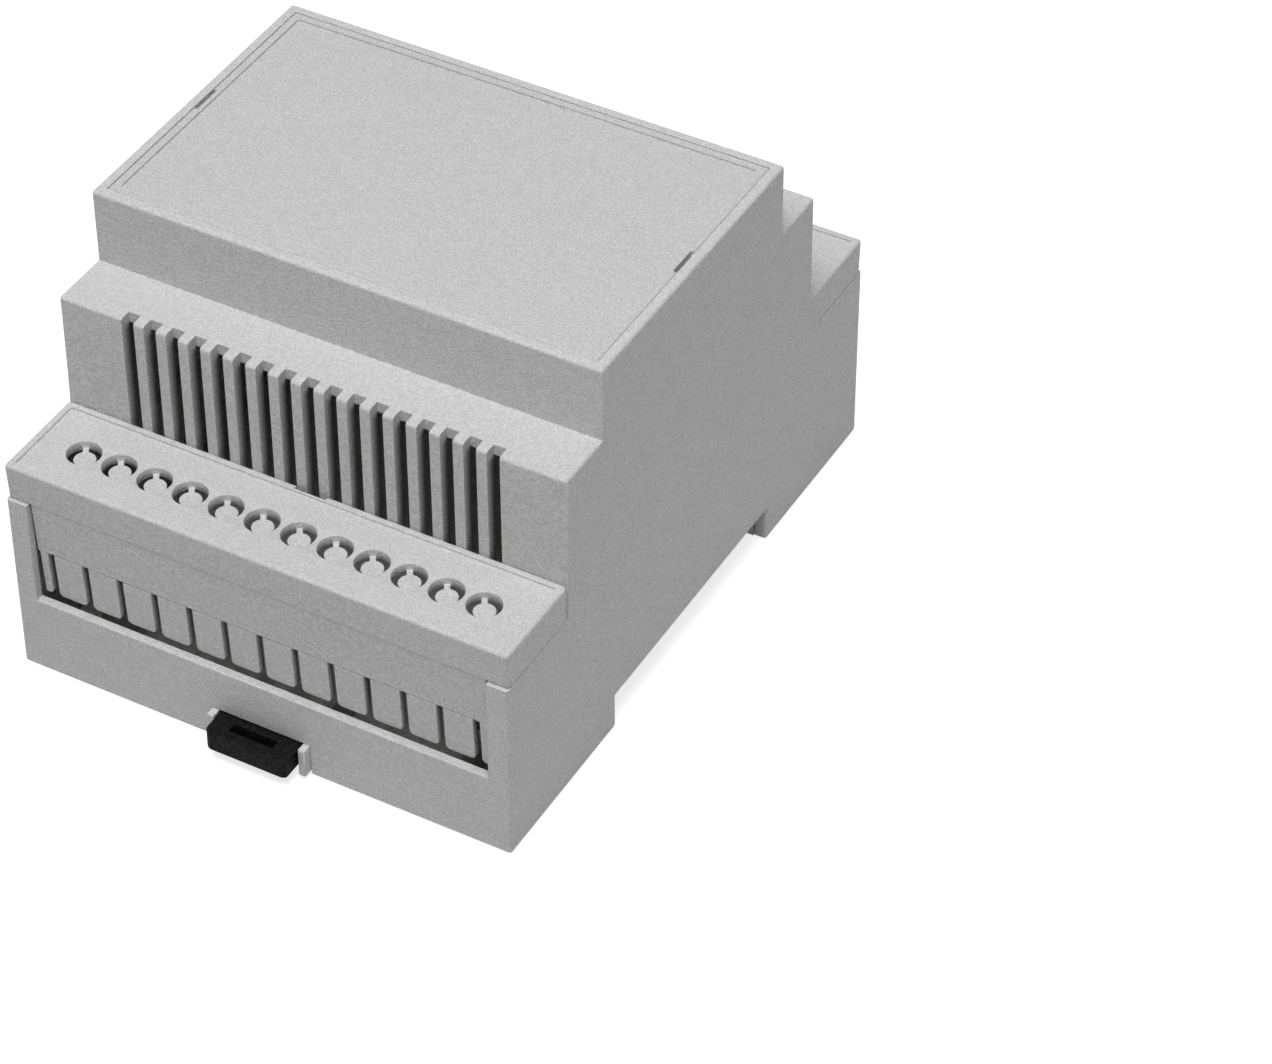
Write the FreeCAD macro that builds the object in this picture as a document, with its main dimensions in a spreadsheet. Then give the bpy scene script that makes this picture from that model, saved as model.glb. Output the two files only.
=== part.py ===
import FreeCAD, Part
import math
import os
import Sketcher

# Modular enclosure for a 35 mm top-hat rail, standing on its rail feet.
# +X runs along the rail, -Y is the front terminal side, +Z leads away from the rail.
# The origin is in the middle of the feet's plane, below the middle of the rail.

# Driving dimensions in millimetres, and one angle in degrees
SIZES = {
    # Housing
    "width": 70.0,
    "depth": 90.0,
    "height": 58.0,
    "side_wall": 1.6,
    "end_wall": 1.2,
    "skin": 1.6,
    "nose_length": 44.8,
    "mid_length": 61.4,
    "mid_height": 47.7,
    "cover_height": 31.8,
    "pillar_height": 26.5,
    "pillar_width": 2.9,
    "sill_height": 11.3,
    "edge_radius": 0.45,
    # Rail and the recess round it
    "rail_width": 35.0,
    "rail_thickness": 1.0,
    "rail_play": 0.2,
    "recess_height": 5.0,
    "recess_front": 19.5,
    "recess_rear": 19.7,
    # Vent slots in both stepped walls
    "vent_count": 17,
    "vent_margin": 9.8,
    "vent_width": 1.25,
    "vent_edge": 0.25,
    "vent_depth": 1.75,
    "vent_foot": 29.0,
    # Front panel and its seat in the nose
    "rim": 1.35,
    "panel_thickness": 2.0,
    "panel_gap": 0.06,
    "ledge_width": 1.6,
    "ledge_thickness": 1.2,
    "label_border": 1.1,
    "label_depth": 0.35,
    "label_corner": 0.3,
    "pry_length": 4.4,
    "pry_depth": 0.5,
    "pry_height": 1.2,
    "leg_thickness": 1.2,
    "leg_width": 7.0,
    "leg_length": 7.0,
    "leg_margin": 13.5,
    "leg_gap": 0.2,
    # Terminal covers
    "seam_gap": 0.06,
    "cover_inset": 0.1,
    "cover_setback": 0.25,
    "cover_slope": 0.055,
    "cover_skin": 1.2,
    "band_step": 0.1,
    "cover_border": 1.0,
    "cover_recess": 0.35,
    "cover_corner": 0.6,
    "notch_width": 5.0,
    "hole_count": 12,
    "hole_margin": 7.06,
    "hole_radius": 2.1,
    "hole_line": 6.8,
    "disc_radius": 1.35,
    "disc_thickness": 0.55,
    "web_width": 0.66,
    "web_turn": 30.0,
    "tab_count": 12,
    "tab_margin": 1.8,
    "tab_slot": 0.95,
    "tab_height": 6.8,
    "tab_gap": 0.75,
    "tab_corner": 0.6,
    "score_depth": 0.15,
    "band_gap": 0.3,
    "tongue_width": 6.0,
    "tongue_thickness": 1.2,
    "tongue_length": 11.5,
    "tongue_gap": 0.2,
    # Base
    "floor": 1.8,
    "base_gap": 0.15,
    "base_end_height": 9.0,
    "base_end_wall": 1.5,
    "hook_width": 14.0,
    "hook_margin": 12.5,
    "hook_overlap": 1.8,
    "hook_thickness": 1.3,
    "boss_radius": 2.6,
    "boss_height": 10.0,
    "boss_hole_radius": 1.1,
    "boss_hole_depth": 7.0,
    "boss_margin_x": 9.0,
    "boss_margin_y": 9.0,
    "guide_tongue_width": 8.0,
    "guide_tongue_height": 22.0,
    "guide_tongue_spacing": 26.0,
    # Rail clip and its tunnel
    "clip_width": 11.7,
    "clip_gap": 0.15,
    "clip_top": 4.65,
    "clip_bottom": 1.4,
    "clip_nose": 3.7,
    "clip_travel": 4.0,
    "clip_lip": 2.2,
    "clip_body": 4.5,
    "shank_width": 6.6,
    "arm_thickness": 0.9,
    "arm_length": 14.0,
    "arm_bump": 0.35,
    "clip_head_edge": 0.55,
    "clip_head_relief": 0.3,
    "pocket_width": 6.3,
    "pocket_depth": 1.9,
    "pocket_length": 1.4,
    "pocket_margin": 1.35,
    "ramp_length": 1.2,
    "ramp_depth": 0.5,
    "clip_corner": 0.9,
    "guide_wall": 1.0,
    "guide_reach": 1.3,
    "guide_foot": 0.6,
    "guide_play": 0.05,
    "tunnel_play": 0.25,
    "shelf_play": 0.2,
    "shelf_width": 0.8,
    "shelf_thickness": 0.7,
    "cutout_width": 14.6,
    "cutout_height": 4.9,
    "cutout_corner": 0.5,
    "peg_width": 2.4,
    "peg_length": 2.0,
    "peg_offset": 9.0,
    "stop_gap": 0.1,
}

# Cuts run this far past the faces that they open
PAST = 1.0


class Size:
    """A length that knows both its value and the sheet formula that drives it."""

    def __init__(self, value, text):
        self.value = float(value)
        self.text = text

    @staticmethod
    def of(other):
        return other if isinstance(other, Size) else Size(other, "%.6g" % other)

    def join(self, other, sign, value):
        return Size(value, "(%s %s %s)" % (self.text, sign, other.text))

    def __add__(self, other):
        other = Size.of(other)
        return self.join(other, "+", self.value + other.value)

    def __radd__(self, other):
        return Size.of(other) + self

    def __sub__(self, other):
        other = Size.of(other)
        return self.join(other, "-", self.value - other.value)

    def __rsub__(self, other):
        return Size.of(other) - self

    def __mul__(self, other):
        other = Size.of(other)
        return self.join(other, "*", self.value * other.value)

    def __rmul__(self, other):
        return Size.of(other) * self

    def __truediv__(self, other):
        other = Size.of(other)
        return self.join(other, "/", self.value / other.value)

    def __neg__(self):
        return Size(-self.value, "(0 - %s)" % self.text)

    def cos(self):
        return Size(math.cos(math.radians(self.value)), "cos(%s * 1 deg)" % self.text)

    def sin(self):
        return Size(math.sin(math.radians(self.value)), "sin(%s * 1 deg)" % self.text)


class Sizes:
    """The sheet's cells as attributes, one Size for each alias."""

    def __init__(self, doc, table):
        sheet = doc.addObject("Spreadsheet::Sheet", "Sizes")
        for row, (name, number) in enumerate(table.items(), start=1):
            sheet.set("A%d" % row, name)
            sheet.set("B%d" % row, str(number))
            sheet.setAlias("B%d" % row, name)
            setattr(self, name, Size(number, "Sizes.%s" % name))
        doc.recompute()


# Sketches and features

def plane(body, role):
    """The body's own origin plane or axis of that role."""
    for feature in body.Origin.OriginFeatures:
        if feature.Role == role:
            return feature
    raise ValueError(role)


def bind(thing, path, size):
    """Bind a property to the sheet."""
    thing.setExpression(path, Size.of(size).text)


def sketch(body, name, role, offset=None):
    """A sketch on an origin plane of its body, moved along the plane's normal."""
    made = body.newObject("Sketcher::SketchObject", name)
    made.AttachmentSupport = [(plane(body, role), "")]
    made.MapMode = "FlatFace"
    if offset is not None:
        bind(made, "AttachmentOffset.Base.z", offset)
    return made


def place(drawing, geometry, end, x, y):
    """Hold one end of a line, or a circle's centre, at its distances from the origin."""
    for kind, size in (("DistanceX", x), ("DistanceY", y)):
        size = Size.of(size)
        index = drawing.addConstraint(Sketcher.Constraint(kind, -1, 1, geometry, end, size.value))
        bind(drawing, "Constraints[%d]" % index, size)


def outline(drawing, points):
    """A closed outline of straight lines, with every corner bound to the sheet."""
    first = drawing.GeometryCount
    corners = [FreeCAD.Vector(Size.of(x).value, Size.of(y).value, 0) for x, y in points]
    count = len(corners)
    for index, corner in enumerate(corners):
        drawing.addGeometry(Part.LineSegment(corner, corners[(index + 1) % count]), False)
    for index in range(count):
        following = first + (index + 1) % count
        drawing.addConstraint(Sketcher.Constraint("Coincident", first + index, 2, following, 1))
    for index, (x, y) in enumerate(points):
        place(drawing, first + index, 1, x, y)


def span(first, last):
    """Two sizes, the lower one first."""
    return sorted((Size.of(first), Size.of(last)), key=lambda size: size.value)


def rectangle(drawing, low_x, high_x, low_y, high_y):
    outline(drawing, [(low_x, low_y), (high_x, low_y), (high_x, high_y), (low_x, high_y)])


def circle(drawing, x, y, radius):
    centre = FreeCAD.Vector(Size.of(x).value, Size.of(y).value, 0)
    normal = FreeCAD.Vector(0, 0, 1)
    index = drawing.addGeometry(Part.Circle(centre, normal, radius.value), False)
    place(drawing, index, 3, x, y)
    held = drawing.addConstraint(Sketcher.Constraint("Radius", index, radius.value))
    bind(drawing, "Constraints[%d]" % held, radius)


def extrude(kind, drawing, length, middle=False, back=False):
    """A pad or a pocket of a sketch: to both sides of it, or to one."""
    body = drawing.getParentGeoFeatureGroup()
    feature = body.newObject("PartDesign::%s" % kind, "%s_%s" % (drawing.Name, kind.lower()))
    feature.Profile = drawing
    feature.Midplane = middle
    feature.Reversed = back
    bind(feature, "Length", length)
    drawing.Document.recompute()
    return feature


def pad(drawing, length, middle=False, back=False):
    return extrude("Pad", drawing, length, middle, back)


def pocket(drawing, length, middle=False, back=False):
    """A pocket that is known to take something away."""
    before = drawing.getParentGeoFeatureGroup().Shape.Volume
    feature = extrude("Pocket", drawing, length, middle, back)
    if feature.Shape.Volume > before - 1e-4:
        raise ValueError("%s cuts nothing" % feature.Name)
    return feature


def row(body, name, features, length, count):
    """Repeat features along the width, the last one that length from the first."""
    pattern = body.newObject("PartDesign::LinearPattern", name)
    pattern.Originals = features
    pattern.Direction = (plane(body, "X_Axis"), [""])
    bind(pattern, "Length", length)
    bind(pattern, "Occurrences", count)
    body.Tip = pattern
    body.Document.recompute()
    return pattern


def mirrored(body, name, features, role):
    """Repeat features on the other side of an origin plane."""
    mirror = body.newObject("PartDesign::Mirrored", name)
    mirror.Originals = features
    mirror.MirrorPlane = (plane(body, role), [""])
    body.Tip = mirror
    body.Document.recompute()
    return mirror


def dress(kind, name, feature, chosen, size):
    """A fillet or a chamfer on the edges that the test chooses."""
    edges = ["Edge%d" % (number + 1) for number, edge in enumerate(feature.Shape.Edges) if chosen(edge)]
    if not edges:
        raise ValueError("%s finds no edge" % name)
    body = feature.getParentGeoFeatureGroup()
    made = body.newObject("PartDesign::%s" % kind, name)
    made.Base = (feature, edges)
    bind(made, "Radius" if kind == "Fillet" else "Size", size)
    body.Document.recompute()
    return made


def near(value, *targets):
    return any(abs(value - Size.of(target).value) < 1e-4 for target in targets)


def runs_along(edge, axis):
    """True for a straight edge along x, y or z."""
    box = edge.BoundBox
    lengths = {"x": box.XLength, "y": box.YLength, "z": box.ZLength}
    own = lengths.pop(axis)
    return own > 1e-4 and all(length < 1e-4 for length in lengths.values())


def new_body(doc, name):
    body = doc.addObject("PartDesign::Body", name)
    body.Label = name
    return body


# Pieces

def housing(doc, s):
    """One moulding: side walls with the rail feet, stepped walls, nose frame and lower end walls."""
    body = new_body(doc, "housing")
    end = s.depth / 2
    mid = s.mid_length / 2
    nose = s.nose_length / 2
    drawing = sketch(body, "profile", "YZ_Plane")
    outline(drawing, [
        (-end, 0), (-s.recess_front, 0), (-s.recess_front, s.recess_height),
        (s.recess_rear, s.recess_height), (s.recess_rear, 0), (end, 0),
        (end, s.pillar_height), (mid, s.pillar_height), (mid, s.mid_height),
        (nose, s.mid_height), (nose, s.height), (-nose, s.height),
        (-nose, s.mid_height), (-mid, s.mid_height), (-mid, s.pillar_height), (-end, s.pillar_height),
    ])
    block = pad(drawing, s.width, middle=True)

    def outer(edge):
        box = edge.BoundBox
        if box.XLength < 1e-4:
            return True
        high = (near(box.ZMin, s.height) or near(box.ZMin, s.mid_height) and near(abs(box.YMin), mid)
                or near(box.ZMin, s.pillar_height) and near(abs(box.YMin), end))
        low = near(box.ZMin, 0)
        return high or low

    dress("Fillet", "edges", block, outer, s.edge_radius)

    inner_end = end - s.end_wall
    inner_mid = mid - s.skin
    inner_nose = nose - s.skin
    ceiling = s.mid_height - s.skin
    under_ledge = s.height - s.panel_thickness - s.ledge_thickness
    cavity = sketch(body, "cavity", "YZ_Plane")
    outline(cavity, [
        (-inner_end, -PAST), (inner_end, -PAST), (inner_end, s.pillar_height + PAST),
        (mid, s.pillar_height + PAST), (mid, s.pillar_height), (inner_mid, s.pillar_height),
        (inner_mid, ceiling), (inner_nose, ceiling), (inner_nose, under_ledge),
        (-inner_nose, under_ledge), (-inner_nose, ceiling), (-inner_mid, ceiling),
        (-inner_mid, s.pillar_height), (-mid, s.pillar_height), (-mid, s.pillar_height + PAST),
        (-inner_end, s.pillar_height + PAST),
    ])
    pocket(cavity, s.width - 2 * s.side_wall, middle=True)

    windows = sketch(body, "windows", "YZ_Plane")
    rectangle(windows, -end - PAST, -inner_end + PAST, s.sill_height, s.pillar_height + PAST)
    rectangle(windows, inner_end - PAST, end + PAST, s.sill_height, s.pillar_height + PAST)
    pocket(windows, s.width - 2 * s.pillar_width, middle=True)

    cutout = sketch(body, "clip_cutout", "XZ_Plane", end + PAST)
    side = s.cutout_width / 2
    foot = side + s.cutout_corner
    outline(cutout, [
        (-foot, -PAST), (foot, -PAST), (foot, 0), (side, s.cutout_corner), (side, s.cutout_height),
        (-side, s.cutout_height), (-side, s.cutout_corner), (-foot, 0),
    ])
    pocket(cutout, s.end_wall + 2 * PAST)

    seat_x = s.width / 2 - s.rim
    seat_y = nose - s.rim
    seat = sketch(body, "panel_seat", "XY_Plane", s.height)
    rectangle(seat, -seat_x, seat_x, -seat_y, seat_y)
    pocket(seat, s.panel_thickness)
    opening = sketch(body, "panel_opening", "XY_Plane", s.height)
    rectangle(opening, -seat_x + s.ledge_width, seat_x - s.ledge_width,
              -seat_y + s.ledge_width, seat_y - s.ledge_width)
    pocket(opening, s.panel_thickness + s.ledge_thickness + PAST)

    start = s.vent_margin - s.width / 2
    vents = sketch(body, "vents", "XY_Plane", s.mid_height)
    slot = s.vent_width / 2
    eased = slot + s.vent_edge
    half_vent = [
        (eased, mid + PAST), (eased, mid), (slot, mid - s.vent_edge), (slot, mid - s.vent_depth),
    ]
    vent = half_vent + [(-x, y) for x, y in reversed(half_vent)]
    for side in (-1, 1):
        outline(vents, [(start + x, side * y) for x, y in vent])
    first = pocket(vents, s.mid_height - s.vent_foot)
    row(body, "vent_row", [first], -2 * start, s.vent_count)
    return body


def front_panel(doc, s):
    """Snap-in panel in the top of the nose, with a shallow label field and four legs."""
    body = new_body(doc, "front_panel")
    half_x = s.width / 2 - s.rim - s.panel_gap
    half_y = s.nose_length / 2 - s.rim - s.panel_gap
    drawing = sketch(body, "plate", "XY_Plane", s.height - s.panel_thickness)
    rectangle(drawing, -half_x, half_x, -half_y, half_y)
    plate = pad(drawing, s.panel_thickness)
    dress("Fillet", "plate_edges", plate, lambda edge: edge.BoundBox.ZMax > s.height.value - 1e-4,
          s.edge_radius / 2)

    label_x = half_x - s.label_border
    label_y = half_y - s.label_border
    label = sketch(body, "label_field", "XY_Plane", s.height)
    rectangle(label, -label_x, label_x, -label_y, label_y)
    field = pocket(label, s.label_depth)
    dress("Fillet", "label_corners", field,
          lambda edge: runs_along(edge, "z") and near(abs(edge.BoundBox.XMin), label_x)
          and near(abs(edge.BoundBox.YMin), label_y), s.label_corner)

    pry = sketch(body, "pry_notches", "XY_Plane", s.height)
    for side in (-1, 1):
        first, last = span(side * (half_x - s.pry_depth), side * (half_x + PAST))
        rectangle(pry, first, last, -s.pry_length / 2, s.pry_length / 2)
    pocket(pry, s.pry_height)

    legs = sketch(body, "legs", "XY_Plane", s.height - s.panel_thickness)
    face = s.nose_length / 2 - s.rim - s.ledge_width - s.leg_gap
    for x_side in (-1, 1):
        middle = x_side * (s.width / 2 - s.leg_margin)
        for low, high in ((-face, -face + s.leg_thickness), (face - s.leg_thickness, face)):
            rectangle(legs, middle - s.leg_width / 2, middle + s.leg_width / 2, low, high)
    pad(legs, s.leg_length, back=True)
    return body


def terminal_cover(doc, s, name, turned):
    """Cap over a terminal space: plate with knock-out holes, leaning front skin with break-off tabs."""
    body = new_body(doc, name)
    half = s.width / 2 - s.cover_inset
    back = s.mid_length / 2 + s.seam_gap
    front = s.depth / 2 - s.cover_setback
    foot = s.pillar_height + s.seam_gap
    underside = s.cover_height - s.skin

    def face(z):
        """How far out the leaning front skin stands at that height."""
        return front - s.cover_slope * (s.cover_height - z)

    drawing = sketch(body, "cap", "YZ_Plane")
    outline(drawing, [(-back, foot), (-back, s.cover_height), (-front, s.cover_height), (-face(foot), foot)])
    block = pad(drawing, half * 2, middle=True)

    def lower(edge):
        return edge.BoundBox.ZMax < foot.value + 1e-4

    def rear_upright(edge):
        return runs_along(edge, "z") and near(edge.BoundBox.YMax, -back)

    rounded = dress("Fillet", "rear_corners", block, rear_upright, s.cover_corner)
    dress("Fillet", "cap_edges", rounded,
          lambda edge: not lower(edge) and not (edge.BoundBox.YMin > -back.value - s.cover_corner.value - 1e-4
                                                and edge.BoundBox.ZLength > 1),
          s.edge_radius)
    inside = sketch(body, "cap_inside", "YZ_Plane")
    outline(inside, [
        (-back + PAST, foot - PAST), (-back + PAST, underside),
        (-(face(underside) - s.cover_skin), underside), (-(face(foot - PAST) - s.cover_skin), foot - PAST),
    ])
    pocket(inside, (half - s.side_wall) * 2, middle=True)

    tab_foot = s.sill_height + s.tab_gap
    tab_top = tab_foot + s.tab_height
    band_half = s.width / 2 - s.pillar_width - s.band_gap
    root = foot + PAST
    skirt = sketch(body, "skirt", "YZ_Plane")
    outline(skirt, [
        (-(face(root) - s.band_step), root), (-(face(tab_foot) - s.band_step), tab_foot),
        (-(face(tab_foot) - s.cover_skin), tab_foot), (-(face(root) - s.cover_skin), root),
    ])
    pad(skirt, band_half * 2, middle=True)

    slots = sketch(body, "tab_slots", "XZ_Plane")
    start = s.tab_margin - band_half
    rectangle(slots, start - s.tab_slot / 2, start + s.tab_slot / 2, tab_foot - PAST, tab_top)
    first = pocket(slots, s.depth, back=True)
    comb = row(body, "tab_slot_row", [first], -2 * start, s.tab_count + 1)
    dress("Fillet", "tab_corners", comb,
          lambda edge: runs_along(edge, "y") and near(edge.BoundBox.ZMin, tab_foot), s.tab_corner)

    score = sketch(body, "score_line", "YZ_Plane")
    scored = face(tab_top) - s.band_step
    outline(score, [
        (-(scored + s.score_depth), tab_top - s.score_depth * 2), (-(scored - s.score_depth), tab_top),
        (-(scored + s.score_depth), tab_top + s.score_depth * 2),
    ])
    pocket(score, -2 * start, middle=True)

    tongues = sketch(body, "tongues", "XZ_Plane", (back + front) / 2)
    outer = s.width / 2 - s.side_wall - s.tongue_gap
    low = underside - s.tongue_length
    rectangle(tongues, -outer, -outer + s.tongue_thickness, low, underside + s.skin / 2)
    rectangle(tongues, outer - s.tongue_thickness, outer, low, underside + s.skin / 2)
    pad(tongues, s.tongue_width, middle=True)

    field = sketch(body, "top_field", "XY_Plane", s.cover_height)
    rectangle(field, -half + s.cover_border, half - s.cover_border,
              -front + s.cover_border, -back - s.cover_border)
    pocket(field, s.cover_recess)
    notch = sketch(body, "pry_notch", "XY_Plane", s.cover_height)
    rectangle(notch, -s.notch_width / 2, s.notch_width / 2, -back - s.cover_border, -back + PAST)
    pocket(notch, s.skin + PAST)

    across = s.hole_margin - s.width / 2
    along = -(front - s.hole_line)
    hole = sketch(body, "screw_hole", "XY_Plane", s.cover_height)
    circle(hole, across, along, s.hole_radius)
    hole_cut = pocket(hole, s.skin + PAST)
    reach = s.hole_radius + s.web_width / 2
    flank = s.web_width / 2
    web = sketch(body, "disc_web", "XY_Plane", underside)
    outline(web, [
        (across + x * s.web_turn.cos() - y * s.web_turn.sin(), along + x * s.web_turn.sin() + y * s.web_turn.cos())
        for x, y in ((-flank, -reach), (flank, -reach), (flank, reach), (-flank, reach))
    ])
    web_pad = pad(web, s.disc_thickness)
    disc = sketch(body, "disc", "XY_Plane", underside)
    circle(disc, across, along, s.disc_radius)
    disc_pad = pad(disc, s.disc_thickness)
    row(body, "hole_row", [hole_cut, web_pad, disc_pad], -2 * across, s.hole_count)
    if turned:
        body.Placement = FreeCAD.Placement(FreeCAD.Vector(0, 0, 0), FreeCAD.Rotation(FreeCAD.Vector(0, 0, 1), 180))
    return body


def base(doc, s):
    """Insert that closes the housing from below: feet floors, rail seat, hooks, clip tunnel and bosses."""
    body = new_body(doc, "base")
    half = s.width / 2 - s.side_wall - s.base_gap
    end = s.depth / 2 - s.end_wall - s.base_gap
    seat_top = s.recess_height + s.floor
    drawing = sketch(body, "floor_profile", "YZ_Plane")
    outline(drawing, [
        (-end, 0), (-s.recess_front, 0), (-s.recess_front, s.recess_height),
        (s.recess_rear, s.recess_height), (s.recess_rear, 0), (end, 0),
        (end, s.base_end_height), (end - s.base_end_wall, s.base_end_height),
        (end - s.base_end_wall, s.floor), (s.recess_rear + s.floor, s.floor),
        (s.recess_rear + s.floor, seat_top), (-s.recess_front - s.floor, seat_top),
        (-s.recess_front - s.floor, s.floor), (-end + s.base_end_wall, s.floor),
        (-end + s.base_end_wall, s.base_end_height), (-end, s.base_end_height),
    ])
    pad(drawing, half * 2, middle=True)

    channel = s.clip_width / 2 + s.clip_gap
    tunnel_half = channel + s.guide_wall
    tunnel = sketch(body, "tunnel", "YZ_Plane")
    rectangle(tunnel, -end, -s.recess_front - s.floor / 2, 0, seat_top)
    pad(tunnel, tunnel_half * 2, middle=True)
    bore = sketch(body, "tunnel_bore", "YZ_Plane")
    rectangle(bore, -end - PAST, -s.recess_front + PAST, -PAST, s.clip_top + s.tunnel_play)
    pocket(bore, channel * 2, middle=True)

    stop = -s.recess_front - s.peg_offset
    peg = sketch(body, "stop_peg", "YZ_Plane")
    rectangle(peg, stop - s.peg_length, stop, s.clip_bottom + s.shelf_play, s.clip_top + s.floor)
    pad(peg, s.peg_width, middle=True)

    bars = sketch(body, "guide_ends", "XY_Plane", s.guide_foot)
    shelves = sketch(body, "clip_shelves", "XY_Plane", s.clip_bottom - s.shelf_play)
    for side in (-1, 1):
        bar = span(side * channel, side * tunnel_half)
        rectangle(bars, bar[0], bar[1], -s.depth / 2 - s.guide_reach, -end + s.base_end_wall)
        shelf = span(side * (channel - s.shelf_width), side * (channel + s.guide_wall / 2))
        rectangle(shelves, shelf[0], shelf[1], -end, -s.recess_front)
    pad(bars, s.cutout_height - s.guide_play - s.guide_foot)
    pad(shelves, s.shelf_thickness, back=True)

    groove = s.recess_height - s.rail_thickness - s.rail_play
    stop_y = s.rail_width / 2 + s.rail_play
    hook = sketch(body, "rail_hook", "YZ_Plane", s.width / 2 - s.hook_margin)
    outline(hook, [
        (s.recess_rear + s.floor / 2, s.recess_height + s.floor / 2), (stop_y, s.recess_height + s.floor / 2),
        (stop_y, groove), (stop_y - s.hook_overlap, groove),
        (stop_y - s.hook_overlap, groove - s.hook_thickness / 2),
        (stop_y - s.hook_overlap + s.hook_thickness / 2, groove - s.hook_thickness),
        (s.recess_rear + s.floor / 2, groove - s.hook_thickness),
    ])
    hook_pad = pad(hook, s.hook_width, middle=True)
    mirrored(body, "rail_hook_pair", [hook_pad], "YZ_Plane")

    boss_x = s.width / 2 - s.boss_margin_x
    boss_y = s.depth / 2 - s.boss_margin_y
    bosses = sketch(body, "bosses", "XY_Plane", s.floor / 2)
    pilots = sketch(body, "boss_holes", "XY_Plane", s.boss_height)
    for x in (-boss_x, boss_x):
        for y in (-boss_y, boss_y):
            circle(bosses, x, y, s.boss_radius)
            circle(pilots, x, y, s.boss_hole_radius)
    pad(bosses, s.boss_height - s.floor / 2)
    pocket(pilots, s.boss_hole_depth)

    tongues = sketch(body, "guide_tongues", "XY_Plane", s.recess_height + s.floor / 2)
    for side in (-1, 1):
        edge = span(side * half, side * (half - s.tongue_thickness))
        for middle in (-s.guide_tongue_spacing / 2, s.guide_tongue_spacing / 2):
            rectangle(tongues, edge[0], edge[1],
                      middle - s.guide_tongue_width / 2, middle + s.guide_tongue_width / 2)
    pad(tongues, s.guide_tongue_height - s.recess_height - s.floor / 2)
    return body


def rail_clip(doc, s):
    """Sliding foot: head with a screwdriver pocket, shank, two spring arms and the lip under the rail."""
    body = new_body(doc, "rail_clip")
    nose = s.depth / 2 + s.clip_nose
    lip_top = s.recess_height - s.rail_thickness - s.rail_play
    shoulder = s.rail_width / 2 + s.rail_play
    tip = shoulder - s.clip_lip
    drawing = sketch(body, "clip_profile", "YZ_Plane")
    outline(drawing, [
        (-nose, s.clip_bottom), (-tip - s.clip_lip / 2, s.clip_bottom), (-tip, lip_top - s.clip_lip / 2),
        (-tip, lip_top), (-shoulder, lip_top), (-shoulder, s.clip_top), (-nose, s.clip_top),
    ])
    block = pad(drawing, s.clip_width, middle=True)
    rounded = dress("Fillet", "head_corners", block,
                    lambda edge: runs_along(edge, "z") and near(edge.BoundBox.YMin, -nose), s.clip_corner)
    dress("Fillet", "head_edges", rounded,
          lambda edge: near(edge.BoundBox.YMin, -nose) and edge.BoundBox.ZLength < 1e-4, s.edge_radius / 2)

    half = s.clip_width / 2
    arm_front = -s.depth / 2 + s.clip_body
    arm_back = arm_front + s.arm_length
    arm_outer = half - s.arm_bump
    arm_inner = arm_outer - s.arm_thickness
    gaps = sketch(body, "arm_gaps", "XY_Plane", s.clip_top + PAST)
    for side in (-1, 1):
        points = [
            (s.shank_width / 2, arm_front), (arm_inner, arm_front), (arm_inner, arm_back),
            (half + PAST, arm_back), (half + PAST, arm_back + s.arm_thickness * 2),
            (s.shank_width / 2, arm_back + s.arm_thickness * 2),
        ]
        outline(gaps, [(side * x, y) for x, y in points])
        flank = span(side * arm_outer, side * (half + PAST))
        rectangle(gaps, flank[0], flank[1], arm_front, arm_back - s.arm_thickness * 3)
    pocket(gaps, s.clip_top - s.clip_bottom + 2 * PAST)

    peg_back = -s.recess_front - s.peg_offset
    window = sketch(body, "stop_window", "XY_Plane", s.clip_top + PAST)
    side_room = s.peg_width / 2 + s.clip_gap
    rectangle(window, -side_room, side_room, peg_back - s.peg_length - s.stop_gap,
              peg_back + s.clip_travel + s.stop_gap)
    pocket(window, s.clip_top - s.clip_bottom + 2 * PAST)

    relief = sketch(body, "head_relief", "XY_Plane", s.clip_top - s.clip_head_edge)
    for side in (-1, 1):
        flank = span(side * (half - s.clip_head_relief), side * (half + PAST))
        rectangle(relief, flank[0], flank[1], -nose - PAST, -s.depth / 2 - s.pocket_margin)
    pocket(relief, s.clip_top - s.clip_bottom + PAST)

    slot = sketch(body, "screwdriver_pocket", "XZ_Plane", nose - s.pocket_margin)
    side = s.pocket_width / 2
    bottom = s.clip_top - s.pocket_depth
    outline(slot, [
        (-side, bottom), (side - s.ramp_length, bottom), (side, s.clip_top - s.ramp_depth),
        (side, s.clip_top + PAST), (-side, s.clip_top + PAST),
    ])
    pocket(slot, s.pocket_length)
    return body


def main():
    doc = FreeCAD.newDocument("din_rail_enclosure")
    sizes = Sizes(doc, SIZES)
    bodies = [
        housing(doc, sizes),
        base(doc, sizes),
        rail_clip(doc, sizes),
        front_panel(doc, sizes),
        terminal_cover(doc, sizes, "terminal_cover_front", turned=False),
        terminal_cover(doc, sizes, "terminal_cover_rear", turned=True),
    ]
    doc.recompute()
    for thing in doc.Objects:
        if "Invalid" in thing.State or "Error" in thing.State:
            raise RuntimeError("%s is not built: %s" % (thing.Name, thing.State))
    for body in bodies:
        if body.Shape.isNull() or not body.Shape.isValid() or len(body.Shape.Solids) != 1:
            raise RuntimeError("%s is not one valid solid" % body.Label)
    os.makedirs("parts", exist_ok=True)
    for body in bodies:
        body.Shape.exportStep("parts/%s.step" % body.Label)
        box = body.Shape.BoundBox
        print("%s %.1f mm3, x %.2f..%.2f, y %.2f..%.2f, z %.2f..%.2f" % (
            body.Label, body.Shape.Volume, box.XMin, box.XMax, box.YMin, box.YMax, box.ZMin, box.ZMax))


main()
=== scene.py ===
"""Visual model of a modular enclosure for a 35 mm top-hat rail.

+X runs along the rail, -Y is the side with the rail clip, +Z leads away from the rail. Sizes of the pieces are in
millimetres, and each mesh is scaled to metres when it is finished.
"""

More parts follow.
